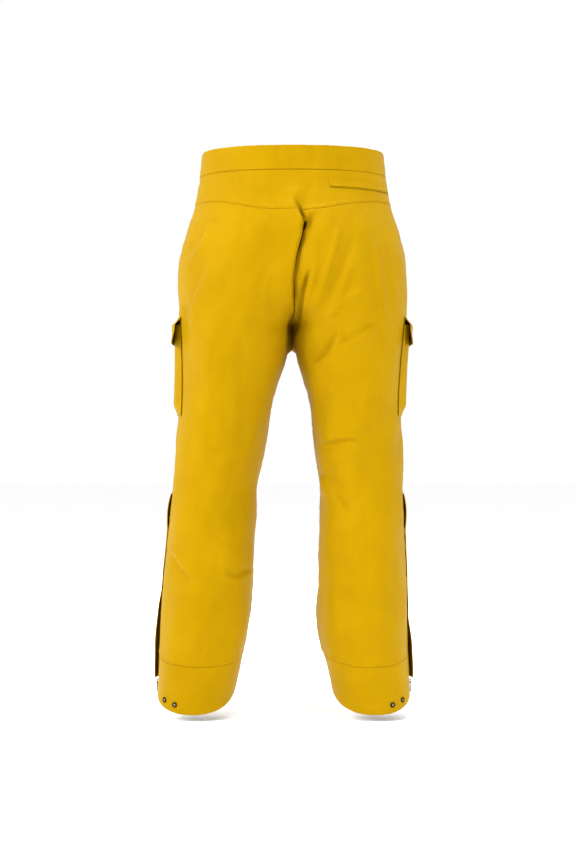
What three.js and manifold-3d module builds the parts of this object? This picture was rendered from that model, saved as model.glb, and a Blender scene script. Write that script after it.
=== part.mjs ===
// Bunker trousers in heavy coated cloth, in the shape they have when worn, as the sewn pieces that they are made from.
// Millimetres. The origin is the centre of the waist opening. +X is the wearer's right, +Y is the way the wearer faces,
// +Z is up, so the whole garment hangs below the origin.
import * as THREE from "three";
import { mergeVertices } from "three/addons/utils/BufferGeometryUtils.js";
import Module from "manifold-3d";

const wasm = await Module();
wasm.setup();

// ---------------------------------------------------------------- driving dimensions
const RISE = 316; // waist edge down to the crotch
const INSEAM = 685; // crotch down to the hem, measured at the side
const WAIST_HALF_WIDTH = 168;
const SEAT_HALF_WIDTH = 213;
const KNEE_HALF_WIDTH = 77;
const HEM_HALF_WIDTH = 71;
const SWAY = 17; // the hems stand this far over to the wearer's left
const ROUNDNESS = 2.25; // superellipse power of every cross-section

const CLOTH = 2.4; // shell cloth with its backing
const SEAM_GAP = 0.3; // each panel stops this far from its seam line
const CLEARANCE = 0.3; // between pieces that lie on each other
const LINING_DEPTH = 12.4; // shell's outer face to the lining's outer face: the loft of the garment
const LINING_CLOTH = 1.2;

const BAND_HEIGHT = 45;
const FRONT_DROP = 12; // the waist edge is this much lower in front
const YOKE_SIDE = 98; // waist edge to the yoke seam at the side
const YOKE_POINT = 21; // extra depth of the yoke at the centre back
const HEEL_DROP = 33; // the hem is this much lower behind
const INSTEP_RISE = 14; // and this much higher in front
const CUFF_HEIGHT = 73; // at the side; it is deeper behind
const CUFF_CURVE = 0.56; // the cuff seam's share of the hem's curve

const POCKET_TOP = 320; // below the waist edge
const POCKET_HEIGHT = 168;
const POCKET_HALF_WIDTH = 68;
const POCKET_FORWARD = 16; // the cargo pocket's centre is this far in front of the side
const POCKET_DEPTH = 8.4; // empty room behind the pocket's cloth
const POCKET_CLOTH = 1.5;
const FLAP_HEIGHT = 50;
const FLAP_OVERLAP = 14; // flap's sewn edge above the pocket's mouth
const FLAP_MARGIN = 4; // flap beyond the pocket at each end
const FLAP_FLARE = 4; // how far the flap's lower corners stand off
const TAPE_PATCH_HEIGHT = 22; // hook-and-loop patches
const TAPE_PATCH_THICKNESS = 0.8;

const ZIP_TAPE_WIDTH = 26;
const ZIP_TAPE_THICKNESS = 1;
const ZIP_TEETH_WIDTH = 5;
const ZIP_TEETH_HEIGHT = 1.6;
const ZIP_SLOT_HALF = 7.5; // half the gap between the cloth edges over a zip
const ZIP_RECESS = 4.5; // tape's outer face under the shell's outer face
const SLIDER_WIDTH = 9.4;
const SLIDER_LENGTH = 11;
const SLIDER_WALL = 1.4;
const PULL_LENGTH = 20;

const LEG_ZIP_TOP = 645; // below the waist edge
const LEG_ZIP_BOTTOM = 994;
const LEG_FLAP_HALF = 15;
const LEG_FLAP_STANDOFF = 4.6;
const FLY_LENGTH = 168;
const FLY_HINGE = 38; // the fly's stitched edge, left of the middle
const FLY_STANDOFF = 4.6;
const TAB_END = 38; // the waist tab's end, right of the middle
const TAB_STANDOFF = 4.4;

const SNAP_RADIUS = 5;
const SNAP_POST = 2;

// ---------------------------------------------------------------- materials
const cloth = (color, roughness = 0.8) =>
  new THREE.MeshStandardMaterial({ color, roughness, metalness: 0 });
const shellCloth = cloth(0xdcab14, 0.62);
const liningCloth = cloth(0x3a2a1c, 0.9);
const pocketCloth = cloth(0x4a3a24, 0.9);
const zipCloth = cloth(0x6b4a12, 0.7);
const hookCloth = cloth(0xa8831a, 1);
const metal = new THREE.MeshStandardMaterial({
  color: 0x5c5348,
  roughness: 0.35,
  metalness: 1,
});

const trousers = new THREE.Group();

function add(name, geometry, material) {
  const mesh = new THREE.Mesh(geometry, material);
  mesh.name = name;
  trousers.add(mesh);
}

// ---------------------------------------------------------------- the shape of the worn garment
// One row for each height: how far the right half's cross-section reaches towards the middle and outwards (x), and
// backwards, to its widest point and forwards (y). Above the crotch it reaches past the middle, where the other half cuts it.
const hip = (share) => RISE * share;
const leg = (share) => RISE + INSEAM * share;
const LANDMARKS = [
  // below waist, inner, outer, back, widest, front
  [hip(0), -WAIST_HALF_WIDTH, WAIST_HALF_WIDTH, -118, 0, 109.2],
  [hip(0.14), -WAIST_HALF_WIDTH - 5, WAIST_HALF_WIDTH + 5, -122, 0, 110.9],
  [hip(0.3), -WAIST_HALF_WIDTH + 2, WAIST_HALF_WIDTH + 14, -131, 0, 112.8],
  [hip(0.47), -150, SEAT_HALF_WIDTH - 14, -145, -2, 115.3],
  [hip(0.63), -122, SEAT_HALF_WIDTH - 3, -152, -4, 119.3],
  [hip(0.79), -74, SEAT_HALF_WIDTH, -153, -5, 127],
  [hip(0.92), -26, SEAT_HALF_WIDTH - 1, -149, -5, 126],
  [leg(0), 0, SEAT_HALF_WIDTH - 2, -143, -5, 122],
  [leg(0.04), 3, SEAT_HALF_WIDTH - 4, -136, -5, 116],
  [leg(0.11), 13, SEAT_HALF_WIDTH - 6, -123, -3, 108],
  [leg(0.19), 31, SEAT_HALF_WIDTH - 7, -110, 0, 102],
  [leg(0.275), 42, SEAT_HALF_WIDTH - 5, -100, 3, 99],
  [leg(0.36), 50, SEAT_HALF_WIDTH - 2, -93, 4.5, 99],
  [leg(0.44), 60, 60 + 2 * KNEE_HALF_WIDTH, -88, 4, 98],
  [leg(0.57), 61, 66 + 2 * KNEE_HALF_WIDTH, -96, 2.6, 92],
  [leg(0.71), 62, 73 + 2 * KNEE_HALF_WIDTH, -100, 1.2, 88],
  [leg(0.815), 63, 76 + 2 * KNEE_HALF_WIDTH, -98, 0.1, 84],
  [leg(0.93), 79, 91 + 2 * HEM_HALF_WIDTH, -90, -1, 78],
  [leg(1.02), 94, 94 + 2 * HEM_HALF_WIDTH, -85, -2, 74],
  [leg(1.08), 98, 98 + 2 * HEM_HALF_WIDTH, -83, -2.6, 73],
];
const drops = LANDMARKS.map((row) => row[0]);
const curves = [1, 2, 3, 4, 5].map(
  (column) =>
    new THREE.CubicInterpolant(
      drops,
      LANDMARKS.map((row) => row[column]),
      1,
    ),
);

function section(z) {
  const [inner, outer, back, widest, front] = curves.map(
    (curve) => curve.evaluate(Math.max(0, -z))[0],
  );
  return {
    centre: (inner + outer) / 2,
    half: (outer - inner) / 2,
    widest,
    back: widest - back,
    front: front - widest,
  };
}

const power = (value) =>
  Math.sign(value) * Math.abs(value) ** (2 / ROUNDNESS);
const unpower = (value) =>
  Math.sign(value) * Math.abs(value) ** (ROUNDNESS / 2);
const sway = (z) => -SWAY * THREE.MathUtils.clamp((-z - hip(0.92)) / (0.85 * INSEAM), 0, 1);

// A point of the shell's outer face. Angle 0 is the outer side, +90 degrees the front, -90 the back, 180 the inseam.
function surface(side, angle, z) {
  const s = section(z);
  const depth = Math.sin(angle) < 0 ? s.back : s.front;
  return new THREE.Vector3(
    side * (s.centre + s.half * power(Math.cos(angle))) + sway(z),
    s.widest + depth * power(Math.sin(angle)),
    z,
  );
}

function normal(side, angle, z) {
  const across = surface(side, angle + 0.01, z).sub(
    surface(side, angle - 0.01, z),
  );
  const down = surface(side, angle, z - 1).sub(surface(side, angle, z + 1));
  return down.cross(across).multiplyScalar(side).normalize();
}

const offset = (side, angle, z, distance) =>
  surface(side, angle, z).addScaledVector(normal(side, angle, z), distance);

// The angle at which a half's own x, before the sway, is reached.
function angleAtX(x, z) {
  const s = section(z);
  return Math.acos(unpower(THREE.MathUtils.clamp((x - s.centre) / s.half, -1, 1)));
}

// The angle of a point that lies this far forwards (or backwards, below 0) of the side.
function angleAtReach(reach, z) {
  const s = section(z);
  return Math.asin(unpower(reach / (reach < 0 ? s.back : s.front)));
}

// ---------------------------------------------------------------- seam lines
const smooth = (value, from, to) => THREE.MathUtils.smoothstep(value, from, to);
const frontShare = (angle) => Math.max(0, Math.sin(angle)) ** 2;
const backShare = (angle) => Math.max(0, -Math.sin(angle));
const waistEdge = (angle) => -FRONT_DROP * frontShare(angle);
const bandSeam = (angle) => waistEdge(angle) - BAND_HEIGHT;
const yokeSeam = (angle) => -YOKE_SIDE - YOKE_POINT * backShare(angle) ** 6;
const hemCurve = (angle) => Math.sin(angle) * (Math.sin(angle) < 0 ? HEEL_DROP : INSTEP_RISE);
const hem = (angle) => -leg(1) + hemCurve(angle);
const cuffSeam = (angle) => -leg(1) + CUFF_HEIGHT + CUFF_CURVE * hemCurve(angle);
const FLY_TOP = -BAND_HEIGHT - FRONT_DROP;
const FLY_BOTTOM = FLY_TOP - FLY_LENGTH;

// Where a panel ends towards the middle: the centre seam above the crotch, the inseam below it.
function innerEdge(z) {
  const stop = Math.PI - unpower(SEAM_GAP / 80);
  return Math.min(stop, angleAtX(SEAM_GAP, z));
}

// In front, the two panels also leave room between them for the fly's zip.
function frontInnerEdge(z) {
  const room =
    (ZIP_SLOT_HALF - SEAM_GAP) * smooth(z, FLY_BOTTOM - 6, FLY_BOTTOM);
  return room > 0 ? angleAtX(SEAM_GAP + room, z) : innerEdge(z);
}

// Where a panel ends at the side: at the side seam, or at the edge of the leg zip's slot.
function sideEdge(z) {
  const reach =
    SEAM_GAP +
    (ZIP_SLOT_HALF - SEAM_GAP) * smooth(-z, LEG_ZIP_TOP - 6, LEG_ZIP_TOP);
  return angleAtReach(reach, z);
}

// ---------------------------------------------------------------- building blocks
function signedVolume(positions, faces) {
  const at = (i) => new THREE.Vector3().fromArray(positions, 3 * i);
  let volume = 0;
  for (let i = 0; i < faces.length; i += 3)
    volume += at(faces[i]).dot(at(faces[i + 1]).cross(at(faces[i + 2]))) / 6;
  return volume;
}

// A closed sheet that follows the garment: point(u, v) gives { side, angle, z, out, inn }, its place and its two faces'
// distances from the shell's outer face. Rows may be a count or a list of shares.
function sheet(columns, rows, point) {
  const shares = Array.isArray(rows)
    ? rows
    : Array.from({ length: rows + 1 }, (_, i) => i / rows);
  const wide = columns + 1;
  const count = wide * shares.length;
  const outer = [];
  const inner = [];
  for (const v of shares)
    for (let i = 0; i < wide; i++) {
      const at = point(i / columns, v);
      outer.push(...offset(at.side, at.angle, at.z, at.out));
      inner.push(...offset(at.side, at.angle, at.z, at.inn));
    }
  const faces = [];
  const quad = (a, b, c, d) => faces.push(a, b, c, a, c, d);
  for (let j = 0; j + 1 < shares.length; j++)
    for (let i = 0; i < columns; i++) {
      const a = j * wide + i;
      quad(a, a + wide, a + wide + 1, a + 1);
      quad(a + count, a + 1 + count, a + wide + 1 + count, a + wide + count);
    }
  const rim = [];
  const last = shares.length - 1;
  for (let i = 0; i < columns; i++) rim.push(i);
  for (let j = 0; j < last; j++) rim.push(j * wide + columns);
  for (let i = columns; i > 0; i--) rim.push(last * wide + i);
  for (let j = last; j > 0; j--) rim.push(j * wide);
  rim.forEach((a, i) => {
    const b = rim[(i + 1) % rim.length];
    quad(a, b, b + count, a + count);
  });
  const positions = [...outer, ...inner];
  if (signedVolume(positions, faces) < 0) faces.reverse();
  const geometry = new THREE.BufferGeometry();
  geometry.setAttribute("position", new THREE.Float32BufferAttribute(positions, 3));
  geometry.setIndex(faces);
  return geometry;
}

function solidOf(geometry) {
  const bare = geometry.clone();
  bare.deleteAttribute("normal");
  bare.deleteAttribute("uv");
  const merged = mergeVertices(bare, 1e-3);
  return new wasm.Manifold(
    new wasm.Mesh({
      numProp: 3,
      vertProperties: merged.attributes.position.array,
      triVerts: new Uint32Array(merged.index.array),
    }),
  );
}

function geometryOf(solid) {
  const mesh = solid.getMesh();
  const geometry = new THREE.BufferGeometry();
  geometry.setAttribute(
    "position",
    new THREE.BufferAttribute(mesh.vertProperties, 3),
  );
  geometry.setIndex(new THREE.BufferAttribute(mesh.triVerts, 1));
  return geometry;
}

const cut = (geometry, ...cutters) =>
  geometryOf(
    cutters.reduce((body, c) => body.subtract(solidOf(c)), solidOf(geometry)),
  );
const join = (...pieces) =>
  geometryOf(pieces.map(solidOf).reduce((a, b) => a.add(b)));

function box(width, length, height, x = 0, y = 0, z = 0) {
  return new THREE.BoxGeometry(width, length, height).translate(x, y, z);
}

// Z levels from top to bottom as shares, closer together around the crotch, where the seam turns under.
function panelRows(top, bottom, step) {
  const near = [-46, -32, -20, -11, -5, 0, 8, 22, 40].map((d) => -RISE - d);
  const levels = near.filter((z) => z < top - 8 && z > bottom + 8);
  const upper = levels.length ? levels[0] : bottom;
  const lower = levels.length ? levels[levels.length - 1] : bottom;
  const fill = (from, to) => {
    const n = Math.max(1, Math.round((from - to) / step));
    return Array.from({ length: n }, (_, i) => from + ((to - from) * i) / n);
  };
  const all = [...fill(top, upper), ...levels, ...fill(lower, bottom).slice(1), bottom];
  return all.map((z) => (top - z) / (top - bottom));
}

// A panel between two seam lines and two edges.
function panel(side, edges, seams, columns, rows, out = 0, inn = -CLOTH) {
  const [from, to] = edges;
  const [top, bottom] = seams;
  return sheet(columns, rows, (u, v) => {
    let z = -RISE;
    let angle = 0;
    for (let pass = 0; pass < 6; pass++) {
      angle = from(z) + (to(z) - from(z)) * u;
      z = top(angle) + (bottom(angle) - top(angle)) * v;
    }
    return { side, angle, z, out, inn };
  });
}

// A piece across the middle of the back, from side seam to side seam.
function backPiece([top, bottom], columns, rows, out, inn) {
  return sheet(2 * columns, rows, (u, v) => {
    const side = u < 0.5 ? -1 : 1;
    const share = Math.abs(2 * u - 1);
    let z = -BAND_HEIGHT;
    let angle = 0;
    for (let pass = 0; pass < 6; pass++) {
      const middle = -angleAtX(0, z);
      angle = middle + (-sideEdge(z) - middle) * share;
      z = top(angle) + (bottom(angle) - top(angle)) * v;
    }
    return { side, angle, z, out, inn };
  });
}

// The place on the front at x, which is less than 0 on the wearer's left.
const onFront = (x, z) => ({ side: x < 0 ? -1 : 1, angle: angleAtX(Math.abs(x), z), z });

const below = (seam) => (angle) => seam(angle) - SEAM_GAP;
const above = (seam) => (angle) => seam(angle) + SEAM_GAP;
const mirrored = (edge) => (z) => -edge(z);

// A frame on the garment: x along the belt line, y up the cloth and z straight out of it.
function frameOf(out, up, origin) {
  const z = out.clone().normalize();
  const x = new THREE.Vector3().crossVectors(up, z).normalize();
  const y = new THREE.Vector3().crossVectors(z, x);
  return new THREE.Matrix4().makeBasis(x, y, z).setPosition(origin);
}

const UP = new THREE.Vector3(0, 0, 1);
const frameAt = (side, angle, z, lift = 0) =>
  frameOf(normal(side, angle, z), UP, offset(side, angle, z, lift));

// ---------------------------------------------------------------- zips
// The slider and its pull, in a zip's own frame: y runs up the zip, z out, and 0 is the tape's outer face. The pull's
// cross-bar passes through the slider's bail, high enough for the pull to lie on the cloth beside the slot.
const SLIDER_ROOF = ZIP_TEETH_HEIGHT + 2 * CLEARANCE;
const SLIDER_TOP = SLIDER_ROOF + SLIDER_WALL;
const PULL_HEIGHT = SLIDER_TOP + 2.8;

function sliderBody() {
  const body = box(SLIDER_WIDTH, SLIDER_LENGTH, SLIDER_TOP - CLEARANCE, 0, 0, (SLIDER_TOP + CLEARANCE) / 2);
  const channel = box(ZIP_TEETH_WIDTH + 4 * CLEARANCE, SLIDER_LENGTH + 2, SLIDER_ROOF * 2);
  const bail = box(1.8, 7.2, 5, 0, 0, SLIDER_TOP + 2.4);
  const eye = box(3, 4.4, 2.4, 0, 0, PULL_HEIGHT);
  return cut(join(cut(body, channel), cut(bail, eye)));
}

function sliderPull() {
  const plate = new THREE.Shape();
  const half = 3.2;
  const waist = 2.2;
  plate.moveTo(-half, 0.7);
  plate.lineTo(-half, -6.2);
  plate.lineTo(-waist, -9);
  plate.lineTo(-half, -PULL_LENGTH + half);
  plate.absarc(0, -PULL_LENGTH + half, half, Math.PI, 2 * Math.PI, false);
  plate.lineTo(waist, -9);
  plate.lineTo(half, -6.2);
  plate.lineTo(half, 0.7);
  const eye = new THREE.Path();
  eye.moveTo(-1.6, -0.6);
  eye.lineTo(1.6, -0.6);
  eye.lineTo(1.6, -5);
  eye.lineTo(-1.6, -5);
  plate.holes.push(eye);
  return new THREE.ExtrudeGeometry(plate, {
    depth: 1.2,
    bevelEnabled: false,
    curveSegments: 6,
  }).translate(0, 0, -0.6);
}

// A zip along a straight line from its bottom to its top. rest is the slider's place, as a height above the bottom.
function zipper(prefix, frame, length, rest, pullName) {
  const tape = join(
    box(ZIP_TAPE_WIDTH, length, ZIP_TAPE_THICKNESS, 0, length / 2, -ZIP_TAPE_THICKNESS / 2),
    box(ZIP_TEETH_WIDTH, length - 2, ZIP_TEETH_HEIGHT + 0.4, 0, length / 2, (ZIP_TEETH_HEIGHT - 0.4) / 2),
  );
  add(prefix + "_tape" + pullName, tape.applyMatrix4(frame), zipCloth);
  const slider = sliderBody().translate(0, rest, 0);
  add(prefix + "_slider" + pullName, slider.applyMatrix4(frame), metal);
  const pull = sliderPull().translate(0, rest, PULL_HEIGHT);
  add(prefix + "_pull" + pullName, pull.applyMatrix4(frame), metal);
}

// ---------------------------------------------------------------- snap fasteners
// A spool through the cloth, turned about z: a ring outside, a post through the hole and a washer inside.
function spool(stack, radius, rise, socket = 0) {
  const washer = radius * 0.8;
  const back = -stack - CLEARANCE;
  const points = [
    [0, back - 1.1],
    [washer, back - 1.1],
    [washer, back],
    [SNAP_POST, back],
    [SNAP_POST, CLEARANCE],
    [radius, CLEARANCE],
    [radius, CLEARANCE + 0.7],
    [radius - 1.2, CLEARANCE + rise],
    [0, CLEARANCE + rise],
  ].map(([r, z]) => new THREE.Vector2(r, z));
  const turned = new THREE.LatheGeometry(points, 12).rotateX(Math.PI / 2);
  if (!socket) return turned;
  const ring = [
    [SNAP_RADIUS - 1.5, back - socket],
    [SNAP_RADIUS, back - socket],
    [SNAP_RADIUS, back - 0.5],
    [SNAP_RADIUS - 1.5, back - 0.5],
    [SNAP_RADIUS - 1.5, back - socket],
  ].map(([r, z]) => new THREE.Vector2(r, z));
  return join(turned, new THREE.LatheGeometry(ring, 12).rotateX(Math.PI / 2));
}

const drill = (frame) =>
  new THREE.CylinderGeometry(SNAP_POST + CLEARANCE, SNAP_POST + CLEARANCE, 14, 12)
    .rotateX(Math.PI / 2)
    .applyMatrix4(frame);

// ---------------------------------------------------------------- leg and seat panels
const HEM_SNAPS = [62, 78]; // behind the side, mm
const HEM_SNAP_HEIGHT = 15;
const KNEE_SPREAD = [0.27, 0.73]; // the knee patch's edges, as shares of a half turn from the side

function legPanels(side, hand) {
  const backRows = panelRows(-YOKE_SIDE - 8, -leg(1) + CUFF_HEIGHT - 12, 44);
  const frontRows = panelRows(-BAND_HEIGHT - 6, -leg(1) + CUFF_HEIGHT + 8, 44);
  add(
    "back_panel_" + hand,
    panel(side, [mirrored(sideEdge), mirrored(innerEdge)], [below(yokeSeam), above(cuffSeam)], 10, backRows),
    shellCloth,
  );
  const front = panel(
    side,
    [sideEdge, frontInnerEdge],
    [below(bandSeam), above(cuffSeam)],
    12,
    frontRows,
  );
  add("front_panel_" + hand, cut(front, handPocketSlot(side)), shellCloth);

  const edge = angleAtReach(ZIP_SLOT_HALF, -leg(0.95));
  let cuff = panel(
    side,
    [() => edge, () => 2 * Math.PI - edge],
    [below(cuffSeam), hem],
    26,
    3,
  );
  const snapZ = (angle) => hem(angle) + HEM_SNAP_HEIGHT;
  HEM_SNAPS.forEach((reach, i) => {
    const angle = angleAtReach(-reach, -leg(0.98));
    const frame = frameAt(side, angle, snapZ(angle));
    cuff = cut(cuff, drill(frame));
    add(
      `hem_snap_${hand}_${i + 1}`,
      spool(CLOTH + 0.8, SNAP_RADIUS, 1.9).applyMatrix4(frame),
      metal,
    );
  });
  add("hem_cuff_" + hand, cuff, shellCloth);

  const liningRows = panelRows(-BAND_HEIGHT - 6, -leg(1) + 22, 90);
  const lining = panel(
    side,
    [mirrored(innerEdge), innerEdge],
    [(angle) => bandSeam(angle) - 2, (angle) => hem(angle) + 22],
    14,
    liningRows,
    -LINING_DEPTH,
    -LINING_DEPTH - LINING_CLOTH,
  );
  add("lining_" + hand, lining, liningCloth);

  const knee = panel(
    side,
    [() => KNEE_SPREAD[0] * Math.PI, () => KNEE_SPREAD[1] * Math.PI],
    [() => -leg(0.29), () => -leg(0.56)],
    8,
    7,
    3 * CLEARANCE + 1.4,
    3 * CLEARANCE,
  );
  add("knee_patch_" + hand, knee, shellCloth);
}

// ---------------------------------------------------------------- waist
const BAND_INSET = 0.4; // the band stands this much proud of the panels
const BAND_CLOTH = CLOTH + 0.8;
const UNDERLAP_END = -FLY_HINGE + 4;
const WAIST_SNAPS = [8, 28]; // right of the middle

// The band's height on the front at x: share 0 is its upper edge and 1 its lower one.
function bandHeight(x, share) {
  const angle = angleAtX(Math.abs(x), -BAND_HEIGHT / 2);
  return waistEdge(angle) - (BAND_HEIGHT - SEAM_GAP) * share;
}

function waistband() {
  const faces = [BAND_INSET, BAND_INSET - BAND_CLOTH];
  add("waistband_back", backPiece([waistEdge, above(bandSeam)], 9, 2, ...faces), shellCloth);

  // A front piece runs round from the side seam, past the middle if end is more than a quarter turn.
  const middle = angleAtX(0, -BAND_HEIGHT / 2);
  const front = (side, end, columns) =>
    sheet(columns, 2, (u, v) => {
      const start = sideEdge(-BAND_HEIGHT / 2);
      const turn = start + (end - start) * u;
      const angle = turn > middle ? 2 * middle - turn : turn;
      const z = waistEdge(angle) - (BAND_HEIGHT - SEAM_GAP) * v;
      return { side: turn > middle ? -side : side, angle, z, out: faces[0], inn: faces[1] };
    });
  const leftEnd = angleAtX(FLY_HINGE + 1, -BAND_HEIGHT / 2);
  const rightEnd = 2 * middle - angleAtX(-UNDERLAP_END, -BAND_HEIGHT / 2);
  add("waistband_front_left", front(-1, leftEnd, 8), shellCloth);
  let underlap = front(1, rightEnd, 14);

  // The tab springs from the left side, over the underlap, and snaps to it.
  let tab = sheet(8, 2, (u, v) => {
    const x = -FLY_HINGE + (TAB_END + FLY_HINGE) * u;
    const lift = BAND_INSET + 2 * CLEARANCE + (TAB_STANDOFF - 2 * CLEARANCE) * smooth(u, 0, 0.25);
    return { ...onFront(x, bandHeight(x, 0.02 + 0.96 * v)), out: lift + 2, inn: lift };
  });
  WAIST_SNAPS.forEach((x, i) => {
    const { side, angle, z } = onFront(x, bandHeight(x, 0.5));
    const low = frameAt(side, angle, z, BAND_INSET);
    underlap = cut(underlap, drill(low));
    add(`waist_snap_stud_${i + 1}`, spool(BAND_CLOTH, SNAP_RADIUS - 2, 1.9).applyMatrix4(low), metal);
    const high = frameAt(side, angle, z, BAND_INSET + TAB_STANDOFF + 2);
    tab = cut(tab, drill(high));
    add(`waist_snap_cap_${i + 1}`, spool(2, SNAP_RADIUS + 1.5, 1.6, 3.2).applyMatrix4(high), metal);
  });
  add("waistband_front_right", underlap, shellCloth);
  add("waist_tab", tab, shellCloth);
}

// ---------------------------------------------------------------- fly
const FLY_SHIELD_DEPTH = ZIP_RECESS + ZIP_TAPE_THICKNESS + 2.7;
const FLY_ZIP_ENDS = [FLY_TOP - 1.5, FLY_BOTTOM + 4];

function flyZipLine() {
  const [high, low] = FLY_ZIP_ENDS.map((z) => surface(1, angleAtX(0, z), z).setX(0));
  const up = high.clone().sub(low);
  const out = new THREE.Vector3(0, up.z, -up.y).normalize();
  return { length: up.length(), frame: frameOf(out, up, low.addScaledVector(out, -ZIP_RECESS)) };
}

function fly() {
  const { length, frame } = flyZipLine();
  zipper("fly_zip", frame, length, length - SLIDER_LENGTH / 2 - 1.5, "");

  const [top, bottom] = FLY_ZIP_ENDS;
  const shield = sheet(6, 6, (u, v) => {
    const z = top + (bottom - top) * v;
    return { ...onFront(-20 + 40 * u, z), out: -FLY_SHIELD_DEPTH, inn: -FLY_SHIELD_DEPTH - 1.2 };
  });
  add("fly_shield", shield, shellCloth);

  const placket = sheet(6, 10, (u, v) => {
    const z = FLY_TOP + 0.4 + (FLY_BOTTOM - 16 - FLY_TOP) * v;
    const curve = 26 * smooth(v, 0.78, 1) ** 2; // the free edge curves in to the foot of the fly
    const x = -FLY_HINGE + 0.5 + u * (FLY_HINGE + 7.5 - curve);
    const lift = CLEARANCE + FLY_STANDOFF * smooth(u, 0, 0.45) * (1 - 0.35 * smooth(v, 0.85, 1));
    return { ...onFront(x, z), out: lift + 1.5, inn: lift };
  });
  add("fly_placket", placket, shellCloth);
}

// ---------------------------------------------------------------- hand pockets
const HAND_ZIP_RECESS = 5.6;
const HAND_ZIP_ENDS = [
  { turn: 0.29, z: -74 }, // turn is a share of a half turn from the side
  { turn: 0.235, z: -190 },
];

function handZipLine(side) {
  const [high, low] = HAND_ZIP_ENDS.map(({ turn, z }) => ({
    point: surface(side, turn * Math.PI, z),
    out: normal(side, turn * Math.PI, z),
  }));
  const up = high.point.clone().sub(low.point);
  const out = high.out.clone().add(low.out).projectOnPlane(up.clone().normalize()).normalize();
  return { length: up.length(), frame: frameOf(out, up, low.point.clone().addScaledVector(out, -HAND_ZIP_RECESS)) };
}

function handPocketSlot(side) {
  const { length, frame } = handZipLine(side);
  return box(2 * ZIP_SLOT_HALF - 2, length, 24, 0, length / 2, 7).applyMatrix4(frame);
}

function handPocket(side, hand) {
  const { length, frame } = handZipLine(side);
  zipper("hand_zip", frame, length, length - SLIDER_LENGTH / 2 - 1, "_" + hand);
  const bag = sheet(8, 6, (u, v) => ({
    side,
    angle: Math.PI * (0.1 + 0.25 * u),
    z: -70 - 190 * v,
    out: -8.4,
    inn: -9.4,
  }));
  add("hand_pocket_bag_" + hand, bag, pocketCloth);
}

// ---------------------------------------------------------------- back yoke and its welt pocket
const WELT_FROM = 64; // right of the middle
const WELT_TO_REACH = 24; // ends this far behind the side seam
const WELT_TOP = 62;
const WELT_HEIGHT = 15;
const SLIT_HEIGHT = 3;

function yokeAndBackPocket() {
  const yoke = backPiece([below(bandSeam), above(yokeSeam)], 10, 3, 0, -CLOTH);
  const from = -angleAtX(WELT_FROM, -WELT_TOP);
  const to = angleAtReach(-WELT_TO_REACH, -WELT_TOP);
  const strip = (columns, rows, top, height, out, inn, trim = 0) =>
    sheet(columns, rows, (u, v) => ({
      side: 1,
      angle: from + trim + (to - from - 2 * trim) * u,
      z: -top - height * v,
      out,
      inn,
    }));
  const slit = strip(10, 1, WELT_TOP + WELT_HEIGHT - SLIT_HEIGHT, SLIT_HEIGHT, 4, -8, 0.03);
  add("back_yoke", cut(yoke, slit), shellCloth);
  const welt = strip(10, 1, WELT_TOP, WELT_HEIGHT, 2 * CLEARANCE + 1.4, 2 * CLEARANCE);
  add("back_pocket_welt", welt, shellCloth);
  const bag = strip(8, 4, WELT_TOP + 2, 128, -CLOTH - 2.2, -CLOTH - 3.6, -0.04);
  add("back_pocket_bag", bag, pocketCloth);
}

// ---------------------------------------------------------------- cargo pockets
// How far the pocket's cloth stands off the leg, over its width and height.
const pocketRoom = (u, v) =>
  3 * CLEARANCE +
  (POCKET_DEPTH - 3 * CLEARANCE) *
    smooth(Math.min(u, 1 - u), 0, 0.16) *
    smooth(1 - v, 0, 0.13);
const FLAP_ROOM = POCKET_DEPTH + POCKET_CLOTH + 2 * TAPE_PATCH_THICKNESS + 3 * CLEARANCE;

function cargoPocket(side, hand) {
  const angleOf = (reach, z) => angleAtReach(reach + POCKET_FORWARD, z);
  const spread = (half, u) => -half + 2 * half * u;
  const pocket = sheet(10, 9, (u, v) => {
    const z = -POCKET_TOP - POCKET_HEIGHT * v;
    const room = pocketRoom(u, v);
    const angle = angleOf(spread(POCKET_HALF_WIDTH, u), z);
    return { side, angle, z, out: room + POCKET_CLOTH, inn: room };
  });
  add("cargo_pocket_" + hand, pocket, shellCloth);

  // A strip across the pocket or its flap, at a height below the mouth and between two distances from the leg.
  const strip = (down, height, out, inn) =>
    sheet(6, 1, (u, v) => {
      const z = -POCKET_TOP - down - height * v;
      return { side, angle: angleOf(spread(POCKET_HALF_WIDTH * 0.6, u), z), z, out, inn };
    });
  const face = POCKET_DEPTH + POCKET_CLOTH + CLEARANCE;
  add(
    "cargo_loop_patch_" + hand,
    strip(10, TAPE_PATCH_HEIGHT, face + TAPE_PATCH_THICKNESS, face),
    hookCloth,
  );
  add(
    "cargo_hook_patch_" + hand,
    strip(10, TAPE_PATCH_HEIGHT, FLAP_ROOM - CLEARANCE, FLAP_ROOM - CLEARANCE - TAPE_PATCH_THICKNESS),
    hookCloth,
  );

  const flap = sheet(10, 6, (u, v) => {
    const z = -POCKET_TOP + FLAP_OVERLAP - FLAP_HEIGHT * v;
    const corner = Math.abs(2 * u - 1) ** 4 * smooth(v, 0.35, 1);
    const lift = CLEARANCE + (FLAP_ROOM - CLEARANCE) * smooth(v, 0, 0.33) + FLAP_FLARE * corner;
    const angle = angleOf(spread(POCKET_HALF_WIDTH + FLAP_MARGIN, u), z);
    return { side, angle, z, out: lift + POCKET_CLOTH, inn: lift };
  });
  add("cargo_flap_" + hand, flap, shellCloth);
}

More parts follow.
